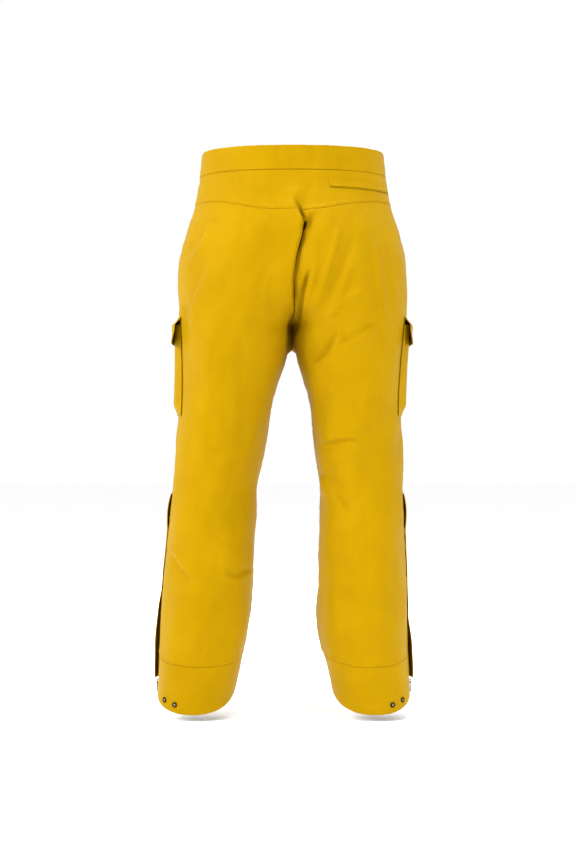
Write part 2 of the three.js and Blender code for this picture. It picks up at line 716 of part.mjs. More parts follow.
// ---------------------------------------------------------------- leg zips and their storm flaps
function legZipLine(side) {
  const low = surface(side, 0, -LEG_ZIP_BOTTOM);
  const up = surface(side, 0, -LEG_ZIP_TOP).sub(low);
  const outwards = normal(side, 0, -(LEG_ZIP_TOP + LEG_ZIP_BOTTOM) / 2);
  const out = outwards.projectOnPlane(up.clone().normalize()).normalize();
  return { length: up.length(), frame: frameOf(out, up, low.addScaledVector(out, -ZIP_RECESS)) };
}

function legZip(side, hand) {
  const { length, frame } = legZipLine(side);
  zipper("leg_zip", frame, length, SLIDER_LENGTH / 2 + 5, "_" + hand);
  const guard = box(29, length - 4, 1, 0, length / 2, -ZIP_TAPE_THICKNESS - CLEARANCE - 0.5);
  add("leg_zip_guard_" + hand, guard.applyMatrix4(frame), shellCloth);

  const flap = sheet(5, 9, (u, v) => {
    const z = -LEG_ZIP_TOP + 12 - (LEG_ZIP_BOTTOM - LEG_ZIP_TOP - 6) * v;
    const reach = LEG_FLAP_HALF * (1 - 2 * u) + 3;
    const lift = CLEARANCE + LEG_FLAP_STANDOFF * smooth(u, 0, 0.35);
    return { side, angle: angleAtReach(reach, z), z, out: lift + 1.5, inn: lift };
  });
  add("leg_zip_flap_" + hand, flap, shellCloth);
}

// ---------------------------------------------------------------- assembly
waistband();
yokeAndBackPocket();
fly();
for (const [side, hand] of [
  [-1, "left"],
  [1, "right"],
]) {
  legPanels(side, hand);
  handPocket(side, hand);
  cargoPocket(side, hand);
  legZip(side, hand);
}

export default trousers;
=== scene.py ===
import math

import bmesh
import bpy
import numpy as np
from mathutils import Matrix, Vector


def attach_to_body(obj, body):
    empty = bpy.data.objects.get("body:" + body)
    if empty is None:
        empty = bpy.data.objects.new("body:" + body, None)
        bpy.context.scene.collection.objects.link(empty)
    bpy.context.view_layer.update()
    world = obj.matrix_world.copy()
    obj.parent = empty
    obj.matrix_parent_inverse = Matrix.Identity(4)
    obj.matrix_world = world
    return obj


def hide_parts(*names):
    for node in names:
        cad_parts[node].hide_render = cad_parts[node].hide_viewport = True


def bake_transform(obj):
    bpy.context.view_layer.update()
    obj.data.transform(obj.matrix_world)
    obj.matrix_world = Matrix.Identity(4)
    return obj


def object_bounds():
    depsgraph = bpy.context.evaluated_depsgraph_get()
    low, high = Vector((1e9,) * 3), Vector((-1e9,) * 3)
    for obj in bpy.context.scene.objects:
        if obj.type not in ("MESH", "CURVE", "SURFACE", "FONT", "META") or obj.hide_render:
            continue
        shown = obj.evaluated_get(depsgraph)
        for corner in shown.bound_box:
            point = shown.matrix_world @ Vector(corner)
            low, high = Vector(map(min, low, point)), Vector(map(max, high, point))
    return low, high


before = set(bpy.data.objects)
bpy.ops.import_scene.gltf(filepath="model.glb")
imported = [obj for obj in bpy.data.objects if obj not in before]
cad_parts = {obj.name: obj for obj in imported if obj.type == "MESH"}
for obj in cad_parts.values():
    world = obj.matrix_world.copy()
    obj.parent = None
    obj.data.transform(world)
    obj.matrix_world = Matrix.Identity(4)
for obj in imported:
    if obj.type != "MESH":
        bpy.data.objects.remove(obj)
cad_low, cad_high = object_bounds()

# ---- sizes, in millimetres, as in the solids
RISE = 316
INSEAM = 685
WAIST_HALF_WIDTH = 168
SEAT_HALF_WIDTH = 213
KNEE_HALF_WIDTH = 77
HEM_HALF_WIDTH = 71
SWAY = 17
ROUNDNESS = 2.25
CLOTH = 2.4
LINING_DEPTH = 12.4
BAND_HEIGHT = 45
BAND_INSET = 0.4
FRONT_DROP = 12
YOKE_SIDE = 98
YOKE_POINT = 21
HEEL_DROP = 33
INSTEP_RISE = 14
CUFF_HEIGHT = 73
CUFF_CURVE = 0.56
POCKET_TOP = 320
POCKET_HEIGHT = 168
POCKET_HALF_WIDTH = 68
POCKET_FORWARD = 16
POCKET_DEPTH = 8.4
POCKET_CLOTH = 1.5
FLAP_HEIGHT = 50
FLAP_OVERLAP = 14
FLAP_MARGIN = 4
FLAP_FLARE = 8
PATCH_HEIGHT = 22
PATCH_THICKNESS = 0.8
GAP = 0.3
ZIP_SLOT_HALF = 7.5
ZIP_RECESS = 4.5
HAND_ZIP_RECESS = 5.6
LEG_ZIP_TOP = 645
LEG_ZIP_BOTTOM = 994
LEG_FLAP_HALF = 15
LEG_FLAP_STANDOFF = 4.6
FLY_LENGTH = 168
FLY_HINGE = 38
FLY_STANDOFF = 4.6
TAB_END = 38
TAB_STANDOFF = 4.4
TAB_CLOTH = 2
FLY_TOP = -BAND_HEIGHT - FRONT_DROP
FLY_BOTTOM = FLY_TOP - FLY_LENGTH
WELT_FROM = 64
WELT_TO_REACH = 24
WELT_TOP = 62
WELT_HEIGHT = 15

HAND_ZIP_ENDS = [(0.29, -74), (0.235, -190)]  # (share of a half turn from the side, height)
HEM_SNAPS = [62, 78]
HEM_SNAP_HEIGHT = 15
HEM_SNAP_RADIUS = 5
STUD_RADIUS = 3
CAP_RADIUS = 6.5
CAP_RISE = 1.6
SNAP_RISE = 1.9
WAIST_SNAPS = [8, 28]

# ---- sizes of the fine cloth and its sewing, in millimetres
SPACING = 5.5  # between the grid lines
BACK_SPACING = 3.4
FRONT_SPACING = 4.4
SMALL_SPACING = 4
LAP = 4.0  # how far a panel's upper edge runs under its neighbour
LAP_DEPTH = 1.7
RIM_RADIUS = 1.1
STITCH = 2.5
STITCH_PITCH = 3.6
THREAD = 0.34
FIRST_ROW = 2.2  # from a piece's edge to its first row of stitches
SECOND_ROW = 8
CUFF_ROW = 26
SEWING_ALLOWANCE = 1.02
FLAP_CLOTH = 1.5
THIN_CLOTH = 1.2
KNEE_CLOTH = 1.4
BAG_CLOTH = 1.4
TAPE_WIDTH = 26
GUARD_WIDTH = 29
TAPE_THICKNESS = 1.0
TOOTH_PITCH = 2.8
FRAME_STRIP = 10.6  # the folded strips round a hand pocket
FRAME_INNER = 5.6
QUILT_PITCH = 70

METRE = 1000  # millimetres


def hip(share):
    return RISE * share


def leg(share):
    return RISE + INSEAM * share


# For each height: below the waist, inner, outer, back, widest, front.
LANDMARKS = np.array(
    [
        [hip(0), -WAIST_HALF_WIDTH, WAIST_HALF_WIDTH, -118, 0, 109.2],
        [hip(0.14), -WAIST_HALF_WIDTH - 5, WAIST_HALF_WIDTH + 5, -122, 0, 110.9],
        [hip(0.3), -WAIST_HALF_WIDTH + 2, WAIST_HALF_WIDTH + 14, -131, 0, 112.8],
        [hip(0.47), -150, SEAT_HALF_WIDTH - 14, -145, -2, 115.3],
        [hip(0.63), -122, SEAT_HALF_WIDTH - 3, -152, -4, 119.3],
        [hip(0.79), -74, SEAT_HALF_WIDTH, -153, -5, 127],
        [hip(0.92), -26, SEAT_HALF_WIDTH - 1, -149, -5, 126],
        [leg(0), 0, SEAT_HALF_WIDTH - 2, -143, -5, 122],
        [leg(0.04), 3, SEAT_HALF_WIDTH - 4, -136, -5, 116],
        [leg(0.11), 13, SEAT_HALF_WIDTH - 6, -123, -3, 108],
        [leg(0.19), 31, SEAT_HALF_WIDTH - 7, -110, 0, 102],
        [leg(0.275), 42, SEAT_HALF_WIDTH - 5, -100, 3, 99],
        [leg(0.36), 50, SEAT_HALF_WIDTH - 2, -93, 4.5, 99],
        [leg(0.44), 60, 60 + 2 * KNEE_HALF_WIDTH, -88, 4, 98],
        [leg(0.57), 61, 66 + 2 * KNEE_HALF_WIDTH, -96, 2.6, 92],
        [leg(0.71), 62, 73 + 2 * KNEE_HALF_WIDTH, -100, 1.2, 88],
        [leg(0.815), 63, 76 + 2 * KNEE_HALF_WIDTH, -98, 0.1, 84],
        [leg(0.93), 79, 91 + 2 * HEM_HALF_WIDTH, -90, -1, 78],
        [leg(1.02), 94, 94 + 2 * HEM_HALF_WIDTH, -85, -2, 74],
        [leg(1.08), 98, 98 + 2 * HEM_HALF_WIDTH, -83, -2.6, 73],
    ]
)
DROPS = LANDMARKS[:, 0]


def curve(column, drop):
    """A landmark column at any height: the same cubic through the landmarks as the solids use."""
    values = LANDMARKS[:, column]
    last = len(DROPS) - 1
    after = np.clip(np.searchsorted(DROPS, drop, side="right"), 1, last)
    before = after - 1
    t0, t1 = DROPS[before], DROPS[after]
    first, final = before == 0, after == last
    previous = np.where(first, after, before - 1)
    following = np.where(final, before, np.minimum(after + 1, last))
    half = (t1 - t0) / 2
    wp = half / (t0 - DROPS[previous])
    wn = half / (DROPS[following] - t1)
    p = (drop - t0) / (t1 - t0)
    pp, ppp = p * p, p * p * p
    sp = -wp * ppp + 2 * wp * pp - wp * p
    s0 = (1 + wp) * ppp + (-1.5 - 2 * wp) * pp + (-0.5 + wp) * p + 1
    s1 = (-1 - wn) * ppp + (1.5 + wn) * pp + 0.5 * p
    sn = wn * ppp - wn * pp
    return sp * values[previous] + s0 * values[before] + s1 * values[after] + sn * values[following]


def section(z):
    drop = np.maximum(0.0, -np.asarray(z, float))
    inner, outer, back, widest, front = [curve(c, drop) for c in range(1, 6)]
    return (inner + outer) / 2, (outer - inner) / 2, widest, widest - back, front - widest


def power(value):
    return np.sign(value) * np.abs(value) ** (2 / ROUNDNESS)


def unpower(value):
    return np.sign(value) * np.abs(value) ** (ROUNDNESS / 2)


def smooth(value, low, high):
    t = np.clip((value - low) / (high - low), 0, 1)
    return t * t * (3 - 2 * t)


def sway_at(z):
    """Both legs swing to the left on the way down."""
    return -SWAY * np.clip((-z - hip(0.92)) / (0.85 * INSEAM), 0, 1)


def surface(side, angle, z):
    """Points of the shell's outer face.

    Angle 0 is the outer side, +pi/2 the front, -pi/2 the back and pi the inseam.
    """
    side, angle, z = np.broadcast_arrays(*(np.asarray(value, float) for value in (side, angle, z)))
    centre, half, widest, back, front = section(z)
    depth = np.where(np.sin(angle) < 0, back, front)
    x = side * (centre + half * power(np.cos(angle))) + sway_at(z)
    y = widest + depth * power(np.sin(angle))
    return np.stack([x, y, z], axis=-1)


def unit(vectors):
    return vectors / np.maximum(np.linalg.norm(vectors, axis=-1, keepdims=True), 1e-9)


def normal(side, angle, z):
    across = surface(side, angle + 0.01, z) - surface(side, angle - 0.01, z)
    down = surface(side, angle, z - 1) - surface(side, angle, z + 1)
    return unit(np.cross(down, across) * np.asarray(side, float)[..., None])


def angle_at_x(x, z):
    centre, half, *_ = section(z)
    return np.arccos(unpower(np.clip((x - centre) / half, -1, 1)))


def angle_at_reach(reach, z):
    _, _, _, back, front = section(z)
    depth = np.where(np.asarray(reach) < 0, back, front)
    return np.arcsin(unpower(np.clip(reach / depth, -1, 1)))


# ---- seam lines
def waist_edge(angle):
    return -FRONT_DROP * np.maximum(0, np.sin(angle)) ** 2


def band_seam(angle):
    return waist_edge(angle) - BAND_HEIGHT


def yoke_seam(angle):
    return -YOKE_SIDE - YOKE_POINT * np.maximum(0, -np.sin(angle)) ** 6


def hem_curve(angle):
    return np.sin(angle) * np.where(np.sin(angle) < 0, HEEL_DROP, INSTEP_RISE)


def hem(angle):
    return -leg(1) + hem_curve(angle)


def cuff_seam(angle):
    return -leg(1) + CUFF_HEIGHT + CUFF_CURVE * hem_curve(angle)


def inner_edge(z):
    return np.minimum(math.pi - 0.004, angle_at_x(0.05, z))


def front_inner_edge(z):
    room = (ZIP_SLOT_HALF - GAP) * smooth(z, FLY_BOTTOM - 6, FLY_BOTTOM)
    return np.where(room > 0, angle_at_x(GAP + room, z), inner_edge(z))


def side_edge(z):
    reach = 0.05 + (ZIP_SLOT_HALF - 0.05) * smooth(-np.asarray(z, float), LEG_ZIP_TOP - 6, LEG_ZIP_TOP)
    return angle_at_reach(reach, z)


# ---- folds of the cloth
def scatter(cell, seed):
    """A fixed value from -1 to 1 for each whole-number cell."""
    n = cell[..., 0] * 73856093 ^ cell[..., 1] * 19349663 ^ cell[..., 2] * 83492791 ^ seed * 2654435
    n = (n ^ (n >> 13)) * 1274126177 & 0x7FFFFFFF
    n = (n ^ (n >> 11)) * 1103515245 & 0x7FFFFFFF
    return n / 0x3FFFFFFF - 1


def swell(points, scale, seed):
    """Smooth uneven swelling from -1 to 1. scale is the size of its lumps along x, y and z, in mm."""
    p = points / np.asarray(scale, float)
    cell = np.floor(p).astype(np.int64)
    f = p - cell
    u = f * f * f * (f * (6 * f - 15) + 10)
    total = 0
    for corner in range(8):
        bit = np.array([corner & 1, corner >> 1 & 1, corner >> 2 & 1])
        weight = np.prod(np.where(bit, u, 1 - u), axis=-1)
        total = total + weight * scatter(cell + bit, seed)
    return total


def along_path(x, z, path):
    """Signed distance from a path (above 0 on its right going down) and the share of the way along it."""
    path = np.asarray(path, float)
    lengths = np.linalg.norm(np.diff(path, axis=0), axis=1)
    starts = np.concatenate([[0], np.cumsum(lengths)])
    best = np.full(np.shape(x), 1e9)
    signed = np.zeros(np.shape(x))
    share = np.zeros(np.shape(x))
    for k in range(len(path) - 1):
        ax, az = path[k]
        dx, dz = (path[k + 1] - path[k]) / lengths[k]
        raw = (x - ax) * dx + (z - az) * dz
        low = -40.0 if k == 0 else 0.0
        high = lengths[k] + (40.0 if k == len(path) - 2 else 0.0)
        t = np.clip(raw, low, high)
        ox, oz = x - ax - t * dx, z - az - t * dz
        distance = np.hypot(ox, oz)
        closer = distance < best
        best = np.where(closer, distance, best)
        side = np.sign(ox * -dz + oz * dx)
        signed = np.where(closer, distance * side, signed)
        share = np.where(closer, (starts[k] + t) / starts[-1], share)
    return signed, share


def bell(distance, width):
    """1 at no distance, falling smoothly to nothing beyond about twice the width."""
    return np.exp(-((distance / width) ** 2))


def fade(share, ends):
    """1 along a fold's middle, falling to 0 over a share of its length at both ends."""
    return smooth(share, -0.02, ends) * (1 - smooth(share, 1 - ends, 1.02))


def ridge(x, z, path, height, width, ends=0.25):
    """A rounded fold along a path, or a hollow if its height is below 0."""
    s, t = along_path(x, z, path)
    return height * bell(s, width) * fade(t, ends)


def crease(x, z, path, height, sharp, reach, ends=0.25):
    """The cloth on the path's right stands higher than on its left, with a groove between."""
    s, t = along_path(x, z, path)
    step = height * np.tanh(s / sharp) * bell(s, reach)
    groove = 0.55 * abs(height) * bell(s, 1.5 * sharp)
    return (step - groove) * fade(t, ends)


# Paths run down the cloth through points (x, z) as seen from behind.
SEAT_CREASE = [(2, -98), (8, -112), (21, -139), (17, -165), (7, -203), (1, -245), (2, -290)]
HOOK_CREASE = [(46, -126), (30, -129), (20, -138), (14, -158)]
LOW_CREASE = [(34, -222), (27, -238), (18, -272), (10, -312), (6, -336)]

# Each fold: its kind, path, height and width, then a crease's reach, and the share that its ends take.
BACK_FOLDS = [
    # seat crease: down from the yoke's point, left buttock under the right one
    (crease, SEAT_CREASE, -2.1, 2.0, 16, 0.1),
    (ridge, SEAT_CREASE, -1.8, 3.2, 0.1),
    (ridge, [(-12, -150), (-22, -200), (-18, -270)], 0.9, 13),
    (crease, HOOK_CREASE, -1.7, 2.0, 12),
    (crease, LOW_CREASE, 2.4, 2.0, 16),
    (ridge, LOW_CREASE, -3.0, 5),
    # the yoke's soft fold above the crease
    (ridge, [(34, -74), (24, -92), (14, -112)], -0.5, 8),
    (ridge, [(4, -78), (2, -98), (-4, -118)], 0.8, 12),
    (ridge, [(-52, -80), (-62, -102)], -0.7, 10),
    # the right buttock: folds that spread up and out from the crotch
    (ridge, [(36, -308), (56, -250), (74, -190), (84, -140)], 1.7, 6.5),
    (ridge, [(50, -306), (76, -248), (100, -196), (108, -158)], -1.6, 7.5),
    (ridge, [(62, -330), (86, -270), (108, -205)], 1.5, 8),
    (ridge, [(16, -300), (36, -240), (46, -196)], 1.0, 7),
    (ridge, [(36, -330), (86, -290), (132, -262)], 1.3, 8),
    (ridge, [(52, -344), (98, -322), (146, -304)], -1.2, 8),
    # upright folds on the right hip
    (ridge, [(148, -190), (156, -262), (170, -345)], 1.5, 6),
    (ridge, [(138, -180), (146, -262), (158, -345)], -1.1, 7),
    (ridge, [(160, -150), (176, -225), (193, -304)], 1.3, 6),
    # two short folds under the right buttock
    (crease, [(30, -392), (48, -386), (64, -372), (74, -352), (82, -330)], -2.4, 2.2, 17),
    (crease, [(84, -362), (106, -350), (126, -338), (150, -322)], -1.9, 2.4, 17),
    (ridge, [(20, -362), (44, -398), (60, -424)], -1.2, 8),
    # left buttock and hip: broad and smooth, with drape folds at the hip
    (ridge, [(-20, -150), (-50, -230), (-56, -300)], -2.6, 26),
    (ridge, [(-30, -214), (-48, -260), (-52, -320)], 0.9, 6),
    (ridge, [(-150, -330), (-156, -400), (-150, -470)], 1.4, 10),
    (ridge, [(-92, -330), (-96, -400), (-92, -480)], -1.2, 14),
    (crease, [(-156, -152), (-178, -182), (-198, -206)], 2.0, 5, 18),
    (crease, [(-152, -206), (-176, -262), (-204, -330)], 2.2, 5, 22),
    (ridge, [(-140, -130), (-150, -165)], -1.4, 9),
    (ridge, [(-24, -300), (-10, -322)], 1.2, 6),
    (ridge, [(150, -140), (172, -200), (176, -262)], -2.0, 13),
    # folds behind the right knee and calf
    (crease, [(48, -540), (70, -537), (96, -531), (128, -532)], 2.0, 2.2, 15),
    (ridge, [(50, -556), (90, -566), (128, -560)], 1.4, 9),
    (crease, [(44, -588), (74, -622), (108, -668)], -2.2, 5, 22),
    (ridge, [(120, -560), (150, -600), (166, -650)], -1.4, 13),
    (ridge, [(80, -700), (96, -780), (92, -850)], -1.5, 16),
    # behind the left knee and calf
    (ridge, [(-70, -520), (-104, -548), (-150, -556)], -1.5, 12),
    (ridge, [(-86, -600), (-98, -680), (-92, -760)], -1.8, 17),
    (crease, [(-226, -736), (-206, -764), (-180, -792)], 2.0, 3, 16),
    (crease, [(-76, -770), (-100, -782), (-124, -778)], 1.6, 3, 14),
]

# One side of the front: folds that spread from the crotch, and across the front of the knee.
FRONT_FOLDS = [
    (ridge, [(14, -306), (64, -276), (116, -262)], 2.6, 10),
    (ridge, [(16, -322), (70, -308), (128, -306)], -2.2, 9),
    (ridge, [(22, -340), (70, -346), (122, -362)], 2.2, 11),
    (ridge, [(30, -372), (62, -404), (90, -450)], -1.8, 13),
    (ridge, [(60, -484), (100, -494), (146, -484)], 1.8, 9),
    (ridge, [(70, -726), (112, -736), (150, -724)], 1.8, 9),
    (ridge, [(84, -752), (124, -766), (158, -758)], -1.5, 10),
]


def add_folds(d, x, z, table):
    for kind, path, *sizes in table:
        d = d + kind(x, z, path, *sizes)
    return d


# The seat seam follows its crease: (height, how far it is pulled to the right of the middle).
SEAT_PULL = [(-330, 0), (-300, 3), (-245, 1), (-203, 7), (-165, 17), (-139, 21), (-112, 8), (-98, 0)]
SEAT_PULL_WIDTH = 45


def slide(points, angle):
    """How far the worn cloth is pulled aside near the middle of the back, in mm."""
    heights, pulls = zip(*SEAT_PULL)
    pull = np.interp(points[..., 2], heights, pulls)
    return pull * bell(points[..., 0], SEAT_PULL_WIDTH) * smooth(-np.sin(angle), 0.1, 0.5)


# Soft upright dents in the waistband: (x, depth).
BAND_DENTS = [(-26, 1.3), (37, 1.8), (94, 1.2), (-120, 1.0)]


def calm(d, angle, z, p):
    """The folds flattened near the parts that have to lie flat."""
    x, reach = p[..., 0] + slide(p, angle), p[..., 1]
    outer = smooth(np.cos(angle), 0.1, 0.4)
    leg_zip = smooth(np.abs(reach), 12, 42) + (1 - smooth(-z, LEG_ZIP_TOP - 60, LEG_ZIP_TOP - 10))
    d = d * (1 - outer * (1 - np.clip(leg_zip, 0, 1)))
    pocket_end = POCKET_TOP + POCKET_HEIGHT
    pocket = smooth(-z, POCKET_TOP - 50, POCKET_TOP - 20)
    pocket *= 1 - smooth(-z, pocket_end + 12, pocket_end + 52)
    pocket *= 1 - smooth(np.abs(reach - POCKET_FORWARD), POCKET_HALF_WIDTH + 4, POCKET_HALF_WIDTH + 24)
    d = d * (1 - 0.92 * outer * pocket)
    forward = np.sin(angle)
    fly = (1 - smooth(np.abs(x), 44, 74)) * smooth(z, FLY_BOTTOM - 40, FLY_BOTTOM - 5)
    fly *= smooth(forward, 0.2, 0.5)
    d = d * (1 - 0.9 * fly)
    zip_end = HAND_ZIP_ENDS[1][1]
    hand_zip = smooth(z, zip_end - 46, zip_end - 24)
    hand_zip *= smooth(forward, 0.45, 0.58)
    hand_zip *= 1 - smooth(forward, 0.86, 0.93)
    d = d * (1 - 0.9 * hand_zip)
    d = d * (0.25 + 0.75 * smooth(-z, BAND_HEIGHT, BAND_HEIGHT + 30))
    d = d * (1 - 0.7 * smooth(-z, leg(0.9), leg(1)))
    # next to the other leg there is no room for high folds
    tight = smooth(-np.cos(angle), 0.35, 0.75) * smooth(z, -450, -390)
    return d - tight * np.maximum(0, d - 0.3)


def crotch_fold(side, angle, z, p):
    """Under the crotch a fold of each front panel reaches past the middle, one behind the other."""
    left = np.asarray(side) < 0
    reach_in = np.asarray(side) * (p[..., 0] - sway_at(z)) + 3
    place = np.where(left, 0.18, 0.42)
    width = np.where(left, 0.09, 0.13)
    fold = bell(np.sin(angle) - place, width) * smooth(-np.cos(angle), 0.3, 0.7)
    return reach_in * fold * smooth(-z, RISE - 6, RISE - 2) * (1 - smooth(-z, RISE + 41, RISE + 60))


def relief(side, angle, z):
    """How far the worn cloth stands from its even shape, in mm along its normal."""
    p = surface(side, angle, z)
    x, z = p[..., 0] + slide(p, angle), p[..., 2]
    back = smooth(-np.sin(angle), 0.02, 0.4)
    front = smooth(np.sin(angle), 0.02, 0.4)
    d = 2.1 * back * add_folds(0 * x, x, z, BACK_FOLDS)
    front_folds = 0 * x
    for mirror in (-1, 1):
        front_folds = add_folds(front_folds, mirror * (x + 4), z, FRONT_FOLDS)
    d = d + 2.0 * front * front_folds
    # broad uneven drape, longer than it is wide, and finer ones under it
    lean = p @ np.array([[1, 0, 0.35], [0, 1, 0], [-0.35, 0, 1]])
    d += 3.4 * swell(lean, (58, 70, 230), 3) * smooth(-z, 60, 200)
    d += 1.9 * swell(lean, (27, 40, 95), 11) * smooth(-z, 50, 120)
    d += 0.7 * swell(p, (15, 20, 40), 23) * smooth(-z, 30, 80)
    d = calm(d, angle, z, p) + crotch_fold(side, angle, z, p)
    for place, depth in BAND_DENTS:
        d -= depth * back * bell(x - place, 9) * smooth(z, -66, -30)
    return d


# ---- grids of cloth
EDGE_LINES = [0, 0.5, 1.1, 2, 3.2, 4.8, 7, 10]  # distances of the grid's first lines from an edge


def run_length(points):
    """The way along a row of points, up to each of them."""
    return np.concatenate([[0], np.cumsum(np.linalg.norm(np.diff(points, axis=0), axis=1))])


def spaced(length, step):
    """Distances from 0 to length: close together near both ends."""
    ends = [e for e in EDGE_LINES if e < length * 0.4]
    low, high = ends[-1], length - ends[-1]
    inside = np.linspace(low, high, max(2, int(round((high - low) / step)) + 1))[1:-1]
    return np.array(ends + list(inside) + [length - e for e in reversed(ends)])


class Grid:
    """Cloth on the garment: rows run down it and columns across it."""

    def __init__(self, side, angle, z):
        self.side = np.broadcast_to(side, angle.shape).astype(float)
        self.angle = angle
        self.z = z
        self.base = surface(self.side, angle, z)
        self.base[..., 0] += slide(self.base, angle)
        self.normal = normal(self.side, angle, z)
        across = np.linalg.norm(np.diff(self.base, axis=1), axis=2)
        along = np.linalg.norm(np.diff(self.base, axis=0), axis=2)
        zero_column = np.zeros((angle.shape[0], 1))
        zero_row = np.zeros((1, angle.shape[1]))
        self.left = np.hstack([zero_column, np.cumsum(across, axis=1)])
        self.right = self.left[:, -1:] - self.left
        self.top = np.vstack([zero_row, np.cumsum(along, axis=0)])
        self.bottom = self.top[-1:] - self.top
        self.relief = relief(self.side, angle, z)
        # next to the centre seam the cloth only moves forwards and back, so that both halves stay together
        near_seam = (1 - smooth(np.abs(self.base[..., 0]), 0, 22)) * smooth(z, -RISE - 2, -RISE + 4)
        self.push = self.normal * np.stack([1 - near_seam, np.ones(z.shape), np.ones(z.shape)], axis=-1)
        self.outer = self.base

    def distance(self, edge):
        return {"left": self.left, "right": self.right, "top": self.top, "bottom": self.bottom}[edge]

    def area(self):
        """Square metres of the even cloth."""
        a = self.base[1:, 1:] - self.base[:-1, :-1]
        b = self.base[1:, :-1] - self.base[:-1, 1:]
        return float(np.linalg.norm(np.cross(a, b), axis=2).sum()) / (2 * METRE**2)

    def flat(self):
        """Width and length of the rectangle that the piece is cut from, in metres."""
        sides = (self.left[:, -1].max(), self.top[-1].max())
        return tuple(float(length) / METRE * SEWING_ALLOWANCE for length in sides)


def panel_grid(side, start, stop, top, bottom, step=SPACING, row_step=SPACING):
    """A panel between two edges, angles that depend on z, and two seams, heights that depend on the angle."""
    angles = np.linspace(-math.pi, math.pi, 61)
    levels = np.linspace(top(angles).max() + 2, bottom(angles).min() - 2, 90)
    crotch = np.linspace(-RISE + 62, -RISE - 14, 150)
    if levels[0] > crotch[0] and levels[-1] < crotch[-1]:
        levels = np.sort(np.concatenate([levels, crotch]))[::-1]
    table = []
    width = 0
    rows = []
    for z in levels:
        a = np.linspace(start(z), stop(z), 240)
        p = surface(side, a, np.full(a.shape, z))
        length = run_length(p)
        rows.append((a, length))
        width = max(width, length[-1])
    shares = spaced(width, step)
    lines = [e for e in EDGE_LINES if e < width * 0.4]
    n = len(lines)
    for a, length in rows:
        ratio = (length[-1] - 2 * lines[-1]) / (width - 2 * lines[-1])
        middle = lines[-1] + (shares[n:-n] - lines[-1]) * ratio
        targets = np.concatenate([lines, middle, length[-1] - np.array(lines[::-1])])
        table.append(np.interp(targets, length, a))
    table = np.array(table)
    # the inner columns run on evenly where an edge turns sharply
    even = np.arange(levels[-1], levels[0], 1.0)
    window = np.hanning(61) / np.hanning(61).sum()
    place = np.arange(table.shape[1]) / (table.shape[1] - 1)
    inward = smooth(np.minimum(place, 1 - place), 0, 0.16)
    for column, share in enumerate(inward):
        steady = np.interp(even, levels[::-1], table[::-1, column])
        steady = np.convolve(np.pad(steady, 30, mode="edge"), window, mode="valid")
        table[:, column] += share * (np.interp(levels, even, steady) - table[:, column])

    def column_angles(z):
        return np.array([np.interp(-z[..., i], -levels, table[:, i]) for i in range(table.shape[1])]).T

    # each column starts on the upper seam and ends on the lower one
    ends = []
    for seam in (top, bottom):
        z = np.full((1, table.shape[1]), float(seam(np.array(0.0))))
        for _ in range(12):
            z = seam(column_angles(z))
        ends.append(z)
    height = abs(float(np.mean(ends[0] - ends[1])))
    v = spaced(height, row_step)[:, None] / height
    z = ends[0] + (ends[1] - ends[0]) * v
    angle = column_angles(z)
    return Grid(side, angle, z)


def joined(left, right):
    """Two halves that meet at the middle, as one grid from the left side seam to the right one."""
    side = np.hstack([left.side, right.side[:, ::-1][:, 1:]])
    angle = np.hstack([left.angle, right.angle[:, ::-1][:, 1:]])
    z = np.hstack([left.z, right.z[:, ::-1][:, 1:]])
    return Grid(side, angle, z)


def patch(place, step=SPACING):
    """A grid over place(u, v), which gives side, angle and z for shares from 0 to 1. Also returns u and v."""
    share = np.linspace(0, 1, 160)
    half = np.full(share.shape, 0.5)
    lines = []
    for u, v in ((share, half), (half, share)):
        side, angle, z = np.broadcast_arrays(*place(u, v))
        length = run_length(surface(side, angle, z))
        lines.append(np.interp(spaced(length[-1], step), length, share))
    u, v = np.meshgrid(*lines)
    side, angle, z = np.broadcast_arrays(*place(u, v))
    return Grid(side, np.array(angle, float), np.array(z, float)), u, v


# ---- meshes
def make_mesh(name, points, faces, uvs=None):
    mesh = bpy.data.meshes.new(name)
    mesh.from_pydata((np.asarray(points) / METRE).tolist(), [], faces)
    if uvs is not None:
        layer = mesh.uv_layers.new(name="cloth")
        loops = np.zeros(len(mesh.loops), dtype=np.int32)
        mesh.loops.foreach_get("vertex_index", loops)
        layer.data.foreach_set("uv", np.asarray(uvs)[loops].astype(np.float32).ravel())
    mesh.shade_smooth()
    mesh.update()
    obj = bpy.data.objects.new(name, mesh)
    bpy.context.scene.collection.objects.link(obj)
    return obj


def fix_normals(obj):
    shape = bmesh.new()
    shape.from_mesh(obj.data)
    bmesh.ops.recalc_face_normals(shape, faces=shape.faces)
    if shape.calc_volume(signed=True) < 0:
        bmesh.ops.reverse_faces(shape, faces=shape.faces)
    shape.to_mesh(obj.data)
    shape.free()


def quads(rows, columns, offset=0, keep=None):
    j, i = np.meshgrid(np.arange(rows - 1), np.arange(columns - 1), indexing="ij")
    a = (j * columns + i + offset).ravel()
    q = np.stack([a, a + columns, a + columns + 1, a + 1], axis=1)
    return q if keep is None else q[keep.ravel()]


